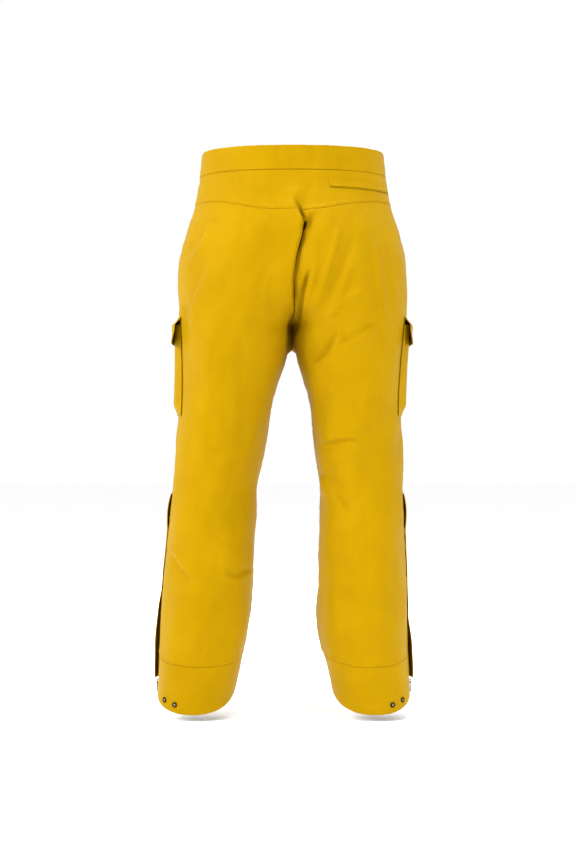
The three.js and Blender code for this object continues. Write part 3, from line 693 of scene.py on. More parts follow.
def shell_data(grid, lift, thickness, hole=None):
    """Points, faces and UVs of a closed sheet with a rounded rim.

    lift is the height of its inner face over the relief.
    """
    edge = np.minimum(np.minimum(grid.left, grid.right), np.minimum(grid.top, grid.bottom))
    radius = min(RIM_RADIUS, thickness / 2)
    taper = 1 - np.clip(edge / radius, 0, 1)
    round_off = (thickness / 2) * (1 - np.sqrt(1 - taper**2)) * 0.96
    lift = np.broadcast_to(lift, grid.z.shape)
    moved = grid.base + grid.push * grid.relief[..., None]
    outer = moved + grid.push * (lift + thickness - round_off)[..., None]
    inner = moved + grid.push * (lift + round_off)[..., None]
    grid.outer = outer
    rows, columns = grid.z.shape
    count = rows * columns
    keep = None
    if hole is not None:
        keep = ~(hole[1:, 1:] | hole[:-1, :-1] | hole[1:, :-1] | hole[:-1, 1:])
    front = quads(rows, columns, 0, keep)
    back = front[:, ::-1] + count
    edges = {}
    for quad in front.tolist():
        for k in range(4):
            a, b = quad[k], quad[(k + 1) % 4]
            if (b, a) in edges:
                del edges[(b, a)]
            else:
                edges[(a, b)] = True
    rim = [[b, a, a + count, b + count] for a, b in edges]
    points = np.concatenate([outer.reshape(-1, 3), inner.reshape(-1, 3)])
    uv = np.stack([grid.left, -grid.top], axis=-1).reshape(-1, 2) / METRE
    return points, front.tolist() + back.tolist() + rim, np.concatenate([uv, uv])


def build(name, parts):
    """One object from several (points, faces, UVs)."""
    points, faces, uvs, count = [], [], [], 0
    for part_points, part_faces, part_uvs in parts:
        points.append(part_points)
        faces += [[v + count for v in f] for f in part_faces]
        uvs.append(part_uvs)
        count += len(part_points)
    obj = make_mesh(name, np.concatenate(points), faces, np.concatenate(uvs))
    shape = bmesh.new()
    shape.from_mesh(obj.data)
    bmesh.ops.delete(shape, geom=[v for v in shape.verts if not v.link_faces], context="VERTS")
    shape.to_mesh(obj.data)
    shape.free()
    fix_normals(obj)
    return obj


def sample(array, row, column):
    """An array of the grid at fractional rows and columns."""
    r0 = np.clip(np.floor(row).astype(int), 0, array.shape[0] - 2)
    c0 = np.clip(np.floor(column).astype(int), 0, array.shape[1] - 2)
    fr, fc = (row - r0)[:, None], (column - c0)[:, None]
    a = array[r0, c0] * (1 - fc) + array[r0, c0 + 1] * fc
    b = array[r0 + 1, c0] * (1 - fc) + array[r0 + 1, c0 + 1] * fc
    return a * (1 - fr) + b * fr


def edge_line(grid, edge, inset, trim=(0, 0)):
    """Points and normals on the cloth, inset from one of its edges and trimmed at both ends, in mm."""
    upright = edge in ("left", "right")
    distance = grid.distance(edge) if upright else grid.distance(edge).T
    across = []
    for line in distance:
        order = np.argsort(line)
        across.append(np.interp(inset, line[order], order.astype(float)))
    across = np.array(across)
    along = np.arange(len(distance), dtype=float)
    row, column = (along, across) if upright else (across, along)
    points = sample(grid.outer, row, column)
    normals = unit(sample(grid.normal, row, column))
    length = run_length(points)
    inside = (length >= trim[0]) & (length <= length[-1] - trim[1])
    return points[inside], normals[inside]


def between(places, length, values):
    """Values given along a line, read at other places on it."""
    return np.stack([np.interp(places, length, values[:, c]) for c in range(3)], axis=1)


def stitch_rows(name, lines):
    """One mesh of sewn stitches along lines of (points, normals)."""
    ring = [(math.cos(a), math.sin(a)) for a in np.arange(5) * 2 * math.pi / 5]
    thick = [(t, 0.9 * c, 0.9 * s) for t in (-0.62, 0.62) for c, s in ring]
    template = np.array([(-1.0, 0.0, 0.0)] + thick + [(1.0, 0.0, 0.0)])
    k = len(ring)
    faces = [[0, 1 + (i + 1) % k, 1 + i] for i in range(k)]
    faces += [[1 + i, 1 + (i + 1) % k, 1 + k + (i + 1) % k, 1 + k + i] for i in range(k)]
    faces += [[1 + 2 * k, 1 + k + i, 1 + k + (i + 1) % k] for i in range(k)]
    all_points, all_faces, count = [], [], 0
    for points, normals in lines:
        if len(points) < 2:
            continue
        length = run_length(points)
        places = np.arange(STITCH_PITCH / 2, length[-1], STITCH_PITCH)
        if not len(places):
            continue
        up = unit(between(places, length, normals))
        along = unit(between(places + 1, length, points) - between(places - 1, length, points))
        local = (between(places, length, points) + up * 0.05)[:, None, :]
        axes = ((along, STITCH / 2), (np.cross(up, along), THREAD), (up, THREAD))
        for column, (axis, size) in enumerate(axes):
            local = local + axis[:, None, :] * (template[None, :, column : column + 1] * size)
        for stitch in range(len(places)):
            base = count + stitch * len(template)
            all_faces += [[base + v for v in f] for f in faces]
        count += len(places) * len(template)
        all_points.append(local.reshape(-1, 3))
    obj = make_mesh(name, np.concatenate(all_points), all_faces)
    fix_normals(obj)
    return obj


# ---- materials
def rgb(red, green, blue):
    """A colour as screens give it, from 0 to 255, turned into light."""
    parts = [c / 255 for c in (red, green, blue)]
    return [c / 12.92 if c <= 0.04045 else ((c + 0.055) / 1.055) ** 2.4 for c in parts] + [1.0]


class Nodes:
    def __init__(self, name):
        self.material = bpy.data.materials.new(name)
        self.material.use_nodes = True
        self.tree = self.material.node_tree
        self.shader = self.tree.nodes["Principled BSDF"]

    def add(self, kind, **settings):
        node = self.tree.nodes.new(kind)
        for key, value in settings.items():
            setattr(node, key, value)
        return node

    def link(self, source, target):
        self.tree.links.new(source, target)

    def set(self, **values):
        """Constants on the shader's own sockets, with _ for a space in a socket's name."""
        for name, value in values.items():
            self.shader.inputs[name.replace("_", " ")].default_value = value

    def feed(self, **sources):
        """The same for what other nodes work out."""
        for name, source in sources.items():
            self.link(source, self.shader.inputs[name.replace("_", " ")])

    def noise(self, vector, scale, detail=3.0, roughness=0.55):
        node = self.add("ShaderNodeTexNoise")
        node.inputs["Scale"].default_value = scale
        node.inputs["Detail"].default_value = detail
        node.inputs["Roughness"].default_value = roughness
        self.link(vector, node.inputs["Vector"])
        return node.outputs["Fac"]

    def ramp(self, source, stops):
        node = self.add("ShaderNodeValToRGB")
        elements = node.color_ramp.elements
        for k, (place, colour) in enumerate(stops):
            element = elements[k] if k < 2 else elements.new(place)
            element.position = place
            element.color = colour
        self.link(source, node.inputs["Fac"])
        return node.outputs["Color"]

    def maths(self, operation, a, b):
        node = self.add("ShaderNodeMath", operation=operation)
        for socket, value in zip(node.inputs, (a, b)):
            if isinstance(value, (int, float)):
                socket.default_value = value
            else:
                self.link(value, socket)
        return node.outputs[0]

    def spread(self, source, low, high):
        node = self.add("ShaderNodeMapRange")
        node.inputs["To Min"].default_value = low
        node.inputs["To Max"].default_value = high
        self.link(source, node.inputs["Value"])
        return node.outputs["Result"]

    def bump(self, height, strength, distance, under=None):
        node = self.add("ShaderNodeBump")
        node.inputs["Strength"].default_value = strength
        node.inputs["Distance"].default_value = distance
        self.link(height, node.inputs["Height"])
        if under is not None:
            self.link(under, node.inputs["Normal"])
        return node.outputs["Normal"]


BROAD_SCALE = 14.0
CRUMPLE_SCALE = 60.0
RIB_SCALE = (70, 70, 520)
PILE_SCALE = 1400.0
WEAR_SCALE = 320.0


def woven(name, colours, roughness, thread, sheen=0.0, weave=0.35, specular=0.4):
    """Woven cloth: colours are its dark, middle and light tones, thread its thread's width in metres."""
    dark, middle, light = [rgb(*colour) for colour in colours]
    n = Nodes(name)
    place = n.add("ShaderNodeTexCoord")
    broad = n.noise(place.outputs["Object"], BROAD_SCALE, 4.0)
    ribs = n.add("ShaderNodeMapping", vector_type="POINT")
    ribs.inputs["Scale"].default_value = RIB_SCALE
    n.link(place.outputs["Object"], ribs.inputs["Vector"])
    fine = n.noise(ribs.outputs["Vector"], 1.0, 3.0)
    tone = n.maths("ADD", n.maths("MULTIPLY", broad, 0.75), n.maths("MULTIPLY", fine, 0.25))
    bands = []
    for direction in ("X", "Y"):
        wave = n.add("ShaderNodeTexWave", wave_type="BANDS", bands_direction=direction)
        wave.inputs["Scale"].default_value = 0.314 / thread
        wave.inputs["Distortion"].default_value = 0.6
        wave.inputs["Detail"].default_value = 1.0
        n.link(place.outputs["UV"], wave.inputs["Vector"])
        bands.append(wave.outputs["Fac"])
    cross = n.maths("MAXIMUM", bands[0], bands[1])
    crumple = n.noise(place.outputs["Object"], CRUMPLE_SCALE, 5.0, 0.6)
    creased = n.bump(fine, 0.3, 0.0005, n.bump(crumple, 0.32, 0.0012))
    n.feed(
        Base_Color=n.ramp(tone, [(0.3, dark), (0.7, light), (0.5, middle)]),
        Normal=n.bump(cross, weave, 0.00012, creased),
        Roughness=n.spread(broad, roughness - 0.05, roughness + 0.07),
    )
    n.set(Specular_IOR_Level=specular, Specular_Tint=light)
    n.set(Sheen_Weight=sheen, Sheen_Roughness=0.45, Sheen_Tint=light)
    return n.material


def fuzzy(name, colours):
    """Hook-and-loop pile."""
    dark, middle, light = [rgb(*colour) for colour in colours]
    n = Nodes(name)
    place = n.add("ShaderNodeTexCoord")
    pile = n.noise(place.outputs["Object"], PILE_SCALE, 3.0, 0.7)
    n.feed(
        Base_Color=n.ramp(pile, [(0.3, dark), (0.7, light), (0.5, middle)]),
        Normal=n.bump(pile, 0.9, 0.0008),
        Roughness=n.spread(pile, 0.85, 1.0),
    )
    n.set(Sheen_Weight=0.25, Sheen_Tint=middle, Specular_IOR_Level=0.1)
    return n.material


def metal(name, dark, light, roughness):
    """Plated metal with a worn, uneven surface."""
    dark, light = rgb(*dark), rgb(*light)
    n = Nodes(name)
    place = n.add("ShaderNodeTexCoord")
    wear = n.noise(place.outputs["Object"], WEAR_SCALE, 5.0, 0.65)
    n.feed(
        Base_Color=n.ramp(wear, [(0.35, dark), (0.7, light)]),
        Normal=n.bump(wear, 0.12, 0.0002),
        Roughness=n.spread(wear, roughness - 0.08, roughness + 0.14),
    )
    n.set(Metallic=1.0, Specular_Tint=dark)
    return n.material


SHELL_COLOURS = [(156, 124, 5), (160, 128, 6), (164, 132, 8)]
THREAD_COLOURS = [(170, 128, 8), (186, 146, 14), (204, 166, 26)]
LINING_COLOURS = [(34, 26, 18), (44, 34, 24), (56, 44, 30)]
POCKET_COLOURS = [(60, 46, 26), (76, 60, 34), (92, 74, 44)]
TAPE_COLOURS = [(112, 72, 20), (136, 90, 26), (156, 108, 36)]
PILE_COLOURS = [(112, 88, 8), (142, 114, 12), (170, 138, 22)]

SHELL = woven("shell_cloth", SHELL_COLOURS, 0.5, 0.0006, specular=0.17)
THREADS = woven("sewing_thread", THREAD_COLOURS, 0.6, 0.0003, specular=0.3)
LINING = woven("lining_taffeta", LINING_COLOURS, 0.55, 0.0004, sheen=0.1)
POCKET = woven("pocket_cloth", POCKET_COLOURS, 0.8, 0.0007)
TAPE = woven("zip_tape_weave", TAPE_COLOURS, 0.75, 0.0008, weave=0.6)
PILE = fuzzy("hook_and_loop", PILE_COLOURS)
ZIP_METAL = metal("zip_metal", (34, 25, 14), (84, 64, 36), 0.5)
DOME_METAL = metal("dome_metal", (96, 86, 66), (172, 160, 136), 0.28)
SNAP_METAL = metal("snap_metal", (46, 36, 24), (96, 80, 58), 0.36)

# Each look: the material, and the record's slot that it belongs to.
SHELL_LOOK = (SHELL, "shell_cloth")
LINING_LOOK = (LINING, "lining")
BAG_LOOK = (POCKET, "pocket_cloth")
TAPE_LOOK = (TAPE, "zip_tape")
PILE_LOOK = (PILE, "hook_and_loop")
THREAD_LOOK = (THREADS, "shell_cloth")
ZIP_LOOK = (ZIP_METAL, "zip_metal")
RING_LOOK = (SNAP_METAL, "snap_metal")
DOME_LOOK = (DOME_METAL, "snap_metal")
ALL_EDGES = ("left", "right", "top", "bottom")


# ---- seams in the cloth
def seam_relief(grid, edges, depth=0.9, roll=0.55, pucker=0.75):
    """The cloth dips into its seams, stands up beside them and puckers along them."""
    d = np.zeros(grid.z.shape)
    for edge in edges:
        s = grid.distance(edge)
        d += -depth * bell(s, 1.3) + roll * bell(s - 5, 3.2)
        d += -0.3 * bell(s - 9.5, 1.6)
        along = swell(grid.base, (13, 13, 13), 31) + 0.6 * swell(grid.base, (7, 7, 7), 37)
        d += pucker * along * bell(s, 13)
    return d


def attach(obj, look, body="trousers", nodes=(), bend=None):
    """Gives a piece its look and lets it ride on its body, the trousers unless told; a piece given a bend
    only has its place baked in.
    """
    material, slot = look
    obj.data.materials.clear()
    obj.data.materials.append(material)
    if bend is None:
        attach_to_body(obj, body)
    else:
        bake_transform(obj)
    if nodes:
        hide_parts(*nodes)


def lapped(grid):
    """The inner face's height where a panel's upper edge lies under its neighbour's lower edge."""
    return -CLOTH - LAP_DEPTH * (1 - smooth(grid.top, LAP - 0.6, LAP + 0.8))


def rows_along(edges, inset, start=3, stop=3):
    """Rows of stitches: edge, distance from it, and how much is left free at both ends."""
    return [(edge, inset, start, stop) for edge in edges]


def sew(
    node, grid, lift, thickness, seams=(), rows=(), body="trousers", bend=None, hole=None, look=SHELL_LOOK
):
    """A cloth piece that stands for a solid, with its rows of stitches."""
    grid.relief = grid.relief + seam_relief(grid, seams)
    obj = build("cloth_" + node, [shell_data(grid, lift, thickness, hole)])
    attach(obj, look, body, (node,), bend)
    lines = [edge_line(grid, edge, inset, (start, stop)) for edge, inset, start, stop in rows]
    if lines:
        thread = stitch_rows("stitches_" + node, lines)
        attach(thread, THREAD_LOOK, body, (), bend)
    width, length = grid.flat()
    area = min(grid.area(), 0.999 * width * length)


# ---- camera, floor and lights
LENS = 71.3
CAMERA_PLACE = (-0.009, -3.2, -0.518)
FLOOR_GAP = 0.012
FLOOR_RADIUS = 14

camera = bpy.data.objects.new("camera", bpy.data.cameras.new("camera"))
camera.data.lens = LENS
camera.data.sensor_width = 36
camera.location = CAMERA_PLACE
camera.rotation_euler = (math.pi / 2, 0, 0)
bpy.context.scene.collection.objects.link(camera)
bpy.context.scene.camera = camera


def area_light(name, place, target, size, power_watts):
    light = bpy.data.lights.new(name, "AREA")
    light.shape = "RECTANGLE"
    light.size, light.size_y = size
    light.energy = power_watts
    obj = bpy.data.objects.new(name, light)
    obj.location = place
    aim = Vector(target) - Vector(place)
    obj.rotation_euler = aim.to_track_quat("-Z", "Y").to_euler()
    bpy.context.scene.collection.objects.link(obj)


area_light("key_light", (-2.7, -1.3, 0.9), (0, 0, -0.5), (1.2, 1.7), 100)
area_light("low_light", (2.0, -2.4, -0.5), (0, 0, -0.5), (0.8, 1.2), 50)
area_light("top_light", (0.3, -0.3, 2.0), (0, 0, -0.4), (0.9, 0.9), 46)
area_light("front_light", (-0.2, 3.3, 0.6), (0, 0, -0.5), (1.2, 1.6), 100)

bpy.context.scene.view_settings.view_transform = "Standard"
bpy.context.scene.view_settings.gamma = 0.85
world = bpy.data.worlds.new("studio")
world.use_nodes = True
world.node_tree.nodes["Background"].inputs["Color"].default_value = (1, 1, 1, 1)
world.node_tree.nodes["Background"].inputs["Strength"].default_value = 1.0
bpy.context.scene.world = world

floor_mesh = bpy.data.meshes.new("floor")
disc = bmesh.new()
bmesh.ops.create_circle(disc, cap_ends=True, radius=FLOOR_RADIUS, segments=96)
disc.to_mesh(floor_mesh)
disc.free()
floor = bpy.data.objects.new("floor", floor_mesh)
floor.location = (0, 0, cad_low[2] - FLOOR_GAP)
bpy.context.scene.collection.objects.link(floor)
paper = Nodes("pale_paper")
paper_place = paper.add("ShaderNodeTexCoord")
paper_tone = paper.noise(paper_place.outputs["Object"], 3.0, 2.0)
paper_greys = [(0.3, (0.965, 0.965, 0.965, 1)), (0.7, (0.985, 0.985, 0.985, 1))]
paper.feed(Base_Color=paper.ramp(paper_tone, paper_greys))
paper.set(Roughness=0.9, Specular_IOR_Level=0.1)
floor_mesh.materials.append(paper.material)


# ---- frames on the garment
def frame_of(out, up, origin):
    """x across, y up the cloth, z straight out of it, and the origin."""
    z = unit(np.asarray(out, float))
    x = unit(np.cross(up, z))
    return x, np.cross(z, x), z, np.asarray(origin, float)


def placed(local, axes):
    x, y, z, origin = axes
    local = np.asarray(local, float)
    return origin + local[..., 0:1] * x + local[..., 1:2] * y + local[..., 2:3] * z


def frame_at(side, angle, z, lift=0.0):
    out = normal(side, np.array(float(angle)), np.array(float(z)))
    lifted = surface(side, angle, z) + out * (lift + float(relief(side, np.array(float(angle)), z)))
    return frame_of(out, (0, 0, 1), lifted)


def zip_frame(high, low, out, recess):
    up = high - low
    along = unit(up)
    out = unit(out - along * np.dot(out, along))
    return float(np.linalg.norm(up)), frame_of(out, up, low - out * recess)


def leg_zip_line(side):
    out = normal(side, np.array(0.0), np.array(-(LEG_ZIP_TOP + LEG_ZIP_BOTTOM) / 2))
    return zip_frame(surface(side, 0, -LEG_ZIP_TOP), surface(side, 0, -LEG_ZIP_BOTTOM), out, ZIP_RECESS)


def hand_zip_line(side):
    ends = [(turn * math.pi, z) for turn, z in HAND_ZIP_ENDS]
    high, low = [surface(side, angle, z) for angle, z in ends]
    out = sum(normal(side, np.array(angle), np.array(float(z))) for angle, z in ends)
    return zip_frame(high, low, out, HAND_ZIP_RECESS)


def fly_zip_line():
    high, low = [surface(1, angle_at_x(0, z), z) * [0, 1, 1] for z in (FLY_TOP - 1.5, FLY_BOTTOM + 4)]
    up = high - low
    return zip_frame(high, low, np.array([0, up[2], -up[1]]), ZIP_RECESS)


# ---- zips
BOX_FACES = [[0, 2, 3, 1], [4, 5, 7, 6], [0, 1, 5, 4], [2, 6, 7, 3], [0, 4, 6, 2], [1, 3, 7, 5]]
BOX_CORNERS = np.array([[i, j, k] for k in (-1, 1) for j in (-1, 1) for i in (-1, 1)], float)


def blocks(name, sizes, axes):
    """One object of several blocks in a frame: (width, length, height, x, y, z) each."""
    points = [BOX_CORNERS * np.array(s[:3]) / 2 + np.array(s[3:]) for s in sizes]
    faces = [[8 * i + v for v in f] for i in range(len(sizes)) for f in BOX_FACES]
    obj = make_mesh(name, placed(np.concatenate(points), axes), faces)
    fix_normals(obj)
    return obj


def soften(obj, width, segments=2):
    bevel = obj.modifiers.new("soft edges", "BEVEL")
    bevel.width = width / METRE
    bevel.segments = segments
    bevel.limit_method = "ANGLE"
    bevel.angle_limit = math.radians(35)


def strip_in_frame(width, length, thickness, axes, low=0.0, out=0.0):
    """Points, faces and UVs of a flat woven strip with rounded edges.

    It starts at low along the frame and its outer face lies at height out.
    """
    x = spaced(width, 5) - width / 2
    y = spaced(length, 8) + low
    gx, gy = np.meshgrid(x, y)
    edge = np.minimum(width / 2 - np.abs(gx), np.minimum(gy - low, low + length - gy))
    fall = (1 - np.clip(edge / (thickness / 2), 0, 1)) ** 2 * thickness * 0.46
    wave = 0.25 * swell(np.stack([gx, gy, 0 * gx], axis=-1), (14, 9, 9), 5)
    faces = quads(len(y), len(x))
    count = gx.size
    top = np.stack([gx, gy, out - fall + wave], axis=-1).reshape(-1, 3)
    under = np.stack([gx, gy, out - thickness + fall + wave], axis=-1).reshape(-1, 3)
    rows, columns = gx.shape
    rim = [i for i in range(columns)] + [j * columns + columns - 1 for j in range(1, rows)]
    rim += [(rows - 1) * columns + i for i in range(columns - 2, -1, -1)]
    rim += [j * columns for j in range(rows - 2, 0, -1)]
    walls = [[a, b, b + count, a + count] for a, b in zip(rim, rim[1:] + rim[:1])]
    uv = np.stack([gx, gy], axis=-1).reshape(-1, 2) / METRE
    all_faces = faces.tolist() + (faces[:, ::-1] + count).tolist() + walls
    return placed(np.concatenate([top, under]), axes), all_faces, np.concatenate([uv, uv])


def zipper(node, length, axes):
    """A woven tape, its corded edges, a row of teeth that mesh with each other, and two stops."""
    tape = build("cloth_" + node, [strip_in_frame(TAPE_WIDTH, length, TAPE_THICKNESS, axes)])
    attach(tape, TAPE_LOOK, nodes=(node,))
    count = int((length - 5) / TOOTH_PITCH * 2)
    teeth = [
        (3.4, 1.1, 1.5, 0.95 * (1 if k % 2 else -1), 2.5 + k * TOOTH_PITCH / 2, 0.85) for k in range(count)
    ]
    cords = [(1.4, length - 1, 1.5, side * 3.3, length / 2, 0.35) for side in (-1, 1)]
    stops = [(6, 2.4, 2, 0, y, 0.9) for y in (1.4, length - 1.4)]
    for part, sizes, look, edge, segments in (
        ("_cords", cords, TAPE_LOOK, 0.5, 3),
        ("_teeth", teeth, ZIP_LOOK, 0.25, 1),
        ("_stops", stops, ZIP_LOOK, 0.4, 2),
    ):
        piece = blocks(node + part, sizes, axes)
        soften(piece, edge, segments)
        attach(piece, look)


# ---- snaps
def lathe(name, profile, axes, around=40):
    """A body turned about the frame's z axis. profile lists (radius, height) from its foot to its top."""
    turns = np.arange(around) * 2 * math.pi / around
    rings = [[(r * math.cos(t), r * math.sin(t), h) for t in turns] for r, h in profile[1:-1]]
    low, high = (0, 0, profile[0][1]), (0, 0, profile[-1][1])
    points = [low] + [p for ring in rings for p in ring] + [high]
    faces = [[0, 1 + (i + 1) % around, 1 + i] for i in range(around)]
    for j in range(len(rings) - 1):
        first = 1 + j * around
        for i in range(around):
            after = (i + 1) % around
            faces.append([first + i, first + after, first + after + around, first + i + around])
    last = 1 + (len(rings) - 1) * around
    faces += [[last + i, last + (i + 1) % around, len(points) - 1] for i in range(around)]
    obj = make_mesh(name, placed(points, axes), faces)
    fix_normals(obj)
    return obj


def snap(node, axes, radius, rise, stack, body="trousers"):
    """A ring that is rolled over the cloth, a bright dome in its middle, and the washer behind."""
    washer = [(0.8, -1.3), (0.82, -0.8), (0.8, -0.35)]
    ring = [(0, -stack - 1.3)] + [(radius * share, h - stack) for share, h in washer]
    ring += [(2, -stack - 0.3), (2, 0.3), (radius - 0.2, 0.3), (radius, 0.5), (radius, 0.8)]
    for turn in np.linspace(0.2, 2.3, 9):
        ring.append((radius - 0.9 + 0.9 * math.cos(turn), 0.8 + (rise - 0.8) * math.sin(turn)))
    ring += [(radius * 0.5, 0.9), (0, 0.9)]
    attach(lathe(node + "_ring", ring, axes), RING_LOOK, body, (node,))
    dome_radius = radius * 0.46
    dome = [(0, 0.6), (dome_radius, 0.6)]
    for turn in np.linspace(0, 1.4, 7):
        dome.append((dome_radius * math.cos(turn), 0.9 + (rise - 0.7) * math.sin(turn)))
    dome.append((0, 0.9 + rise - 0.7))
    attach(lathe(node + "_dome", dome, axes), DOME_LOOK, body)


# ---- panels, linings and cuffs
def middle_of_back(z):
    return -angle_at_x(0, z)


def back_side_edge(z):
    return -side_edge(z)


def back_inner_edge(z):
    return -inner_edge(z)


def under_band(angle):
    return band_seam(angle) + LAP


def across_back(top, bottom, row_step=SPACING):
    """A piece across the back, from side seam to side seam."""
    halves = []
    for side in (-1, 1):
        halves.append(panel_grid(side, back_side_edge, middle_of_back, top, bottom, row_step=row_step))
    return joined(*halves)


def zip_angle(z):
    """The angle at which the hand pocket's zip lies at height z."""
    high, low = [level for _, level in HAND_ZIP_ENDS]
    ends = [surface(1, turn * math.pi, level)[0] for turn, level in HAND_ZIP_ENDS]
    x = ends[1] + (ends[0] - ends[1]) * (z - low) / (high - low)
    return angle_at_x(x, z)


def pocket_opening(side, hand):
    """The four folded strips that frame a hand pocket's zip."""
    high, low = HAND_ZIP_ENDS[0][1], HAND_ZIP_ENDS[1][1]

    def beside_zip(distance, z):
        angle = zip_angle(z)
        metric = np.linalg.norm(surface(1, angle + 0.01, z) - surface(1, angle - 0.01, z), axis=-1) / 0.02
        return side, angle + distance / metric, z

    def upright(flip):
        def at(u, v):
            return beside_zip(flip * (FRAME_INNER + FRAME_STRIP * u), high + 6 + (low - high - 28) * v)

        return at

    def level(z):
        return lambda u, v: beside_zip(-16 + 32 * u, z - FRAME_STRIP * v)

    strips = [upright(-1), upright(1), level(high + 9), level(low - 14)]
    grids = [patch(place, SMALL_SPACING)[0] for place in strips]
    parts = [shell_data(grid, GAP, 1.1) for grid in grids]
    frame_cloth = build("pocket_frame_" + hand, parts)
    attach(frame_cloth, SHELL_LOOK)
    rows = [edge_line(grid, "left", 8.4, (3, 3)) for grid in grids[:2]]
    rows += [edge_line(grids[2], "top", 2, (2, 2)), edge_line(grids[3], "bottom", 2, (2, 2))]
    thread = stitch_rows("pocket_frame_stitches_" + hand, rows)
    attach(thread, THREAD_LOOK)


def leg_panels(side, hand):
    seams = ("left", "right", "bottom")
    back = panel_grid(
        side,
        back_side_edge,
        back_inner_edge,
        lambda angle: yoke_seam(angle) + LAP,
        cuff_seam,
        BACK_SPACING,
        BACK_SPACING,
    )
    rows = [("left", inset, 8, 4) for inset in (FIRST_ROW, SECOND_ROW)]
    rows += [("right", inset, 8, 3) for inset in (FIRST_ROW, SECOND_ROW)]
    rows += [("bottom", 2.4, 3, 3)]
    sew("back_panel_" + hand, back, lapped(back), CLOTH, seams, rows)

    front = panel_grid(
        side, side_edge, front_inner_edge, under_band, cuff_seam, FRONT_SPACING, FRONT_SPACING
    )
    length, (x, y, z, origin) = hand_zip_line(side)
    local = front.base - origin
    hole = (np.abs(local @ x) < 7.4) & (np.abs(local @ z) < 20)
    hole &= (local @ y > -1) & (local @ y < length + 1)
    rows = [("left", FIRST_ROW, 4, 4), ("right", FIRST_ROW, 200, 3)]
    sew("front_panel_" + hand, front, lapped(front), CLOTH, seams, rows, hole=hole)
    pocket_opening(side, hand)

    edge = float(angle_at_reach(ZIP_SLOT_HALF, -leg(0.95)))
    cuff = panel_grid(
        side,
        lambda z: edge + 0 * z,
        lambda z: 2 * math.pi - edge + 0 * z,
        lambda angle: cuff_seam(angle) + LAP,
        hem,
    )
    cuff.relief += 0.5 * bell(cuff.bottom - 10, 7) - 0.4 * bell(cuff.bottom - CUFF_ROW, 1.6)
    rows = [("bottom", CUFF_ROW, 2, 2), ("left", 2.5, 8, 2), ("right", 2.5, 8, 2)]
    sew("hem_cuff_" + hand, cuff, lapped(cuff), CLOTH, (), rows)
    for index, reach in enumerate(HEM_SNAPS):
        angle = float(angle_at_reach(-reach, -leg(0.98)))
        axes = frame_at(side, angle, float(hem(angle)) + HEM_SNAP_HEIGHT)
        snap(f"hem_snap_{hand}_{index + 1}", axes, HEM_SNAP_RADIUS, SNAP_RISE, CLOTH + 0.8)

    lining = panel_grid(
        side,
        back_inner_edge,
        inner_edge,
        lambda angle: band_seam(angle) - 2,
        lambda angle: hem(angle) + 22,
        9,
        9,
    )
    ways = (lining.left + lining.top, lining.left - lining.top)
    diamonds = np.prod([np.abs(np.sin(way * math.pi / QUILT_PITCH)) for way in ways], axis=0)
    lining.relief = 1.6 * np.sqrt(diamonds) - 1.2 + 0.4 * swell(lining.base, (18, 18, 18), 41)
    sew("lining_" + hand, lining, -LINING_DEPTH - THIN_CLOTH, THIN_CLOTH, look=LINING_LOOK)

    def on_knee(u, v):
        return side, math.pi * (0.27 + 0.46 * u), -leg(0.29) - INSEAM * 0.27 * v

    knee = patch(on_knee)[0]
    rows = [(edge, inset, 3, 3) for edge in ALL_EDGES for inset in (FIRST_ROW, SECOND_ROW)]
    knee.relief = knee.relief + seam_relief(knee, ALL_EDGES, 0.0, 0.4, 0.25)
    sew("knee_patch_" + hand, knee, 0.5, KNEE_CLOTH, (), rows)


# ---- waistband, fly and yoke
def band_front(side, end_turn):
    """A front piece of the waistband, from the side seam round to a turn that may lie past the middle."""
    middle = float(angle_at_x(0, -BAND_HEIGHT / 2))
    start = float(side_edge(-BAND_HEIGHT / 2))

    def place(u, v):
        turn = start + (end_turn - start) * u
        past = turn > middle
        angle = np.where(past, 2 * middle - turn, turn)
        return np.where(past, -side, side), angle, waist_edge(angle) - (BAND_HEIGHT - GAP) * v

    return patch(place)[0]


def on_front(x, z):
    return np.where(x < 0, -1, 1), angle_at_x(np.abs(x), z), z


def band_height(x, share):
    angle = angle_at_x(np.abs(x), -BAND_HEIGHT / 2)
    return waist_edge(angle) - (BAND_HEIGHT - GAP) * share


def metres(point):
    return tuple(float(c) / METRE for c in point)


def waistband():
    thick = CLOTH + 0.8
    lift = BAND_INSET - thick
    rows = [("top", 2, 2, 2), ("bottom", FIRST_ROW, 2, 2)]
    back = across_back(waist_edge, lambda angle: band_seam(angle) + GAP)
    sew("waistband_back", back, lift, thick, ("left", "right"), rows)
    middle, left_end, right_end = [
        float(angle_at_x(x, -BAND_HEIGHT / 2)) for x in (0, FLY_HINGE + 1, FLY_HINGE - 1)
    ]
    sew("waistband_front_left", band_front(-1, left_end), lift, thick, ("left",), rows)
    sew("waistband_front_right", band_front(1, 2 * middle - right_end), lift, thick, ("left",), rows)

    def on_tab(u, v):
        x = -FLY_HINGE + (TAB_END + FLY_HINGE) * u
        return on_front(x, band_height(x, 0.02 + 0.96 * v))

    tab, u, _ = patch(on_tab, SMALL_SPACING)
    tab_lift = BAND_INSET + 0.6 + (TAB_STANDOFF - 0.6) * smooth(u, 0, 0.25)
    rows = rows_along(("top", "bottom", "right"), FIRST_ROW, 2, 2)
    sew("waist_tab", tab, tab_lift, TAB_CLOTH, (), rows, "fly_flap", FLY_BEND)
    for index, x in enumerate(WAIST_SNAPS):
        _, angle, z = on_front(np.array(float(x)), band_height(x, 0.5))
        low = frame_at(1, float(angle), float(z), BAND_INSET)
        snap(f"waist_snap_stud_{index + 1}", low, STUD_RADIUS, SNAP_RISE, thick)
        high = frame_at(1, float(angle), float(z), BAND_INSET + TAB_STANDOFF + TAB_CLOTH)
        snap(f"waist_snap_cap_{index + 1}", high, CAP_RADIUS, CAP_RISE, TAB_CLOTH, "fly_flap")


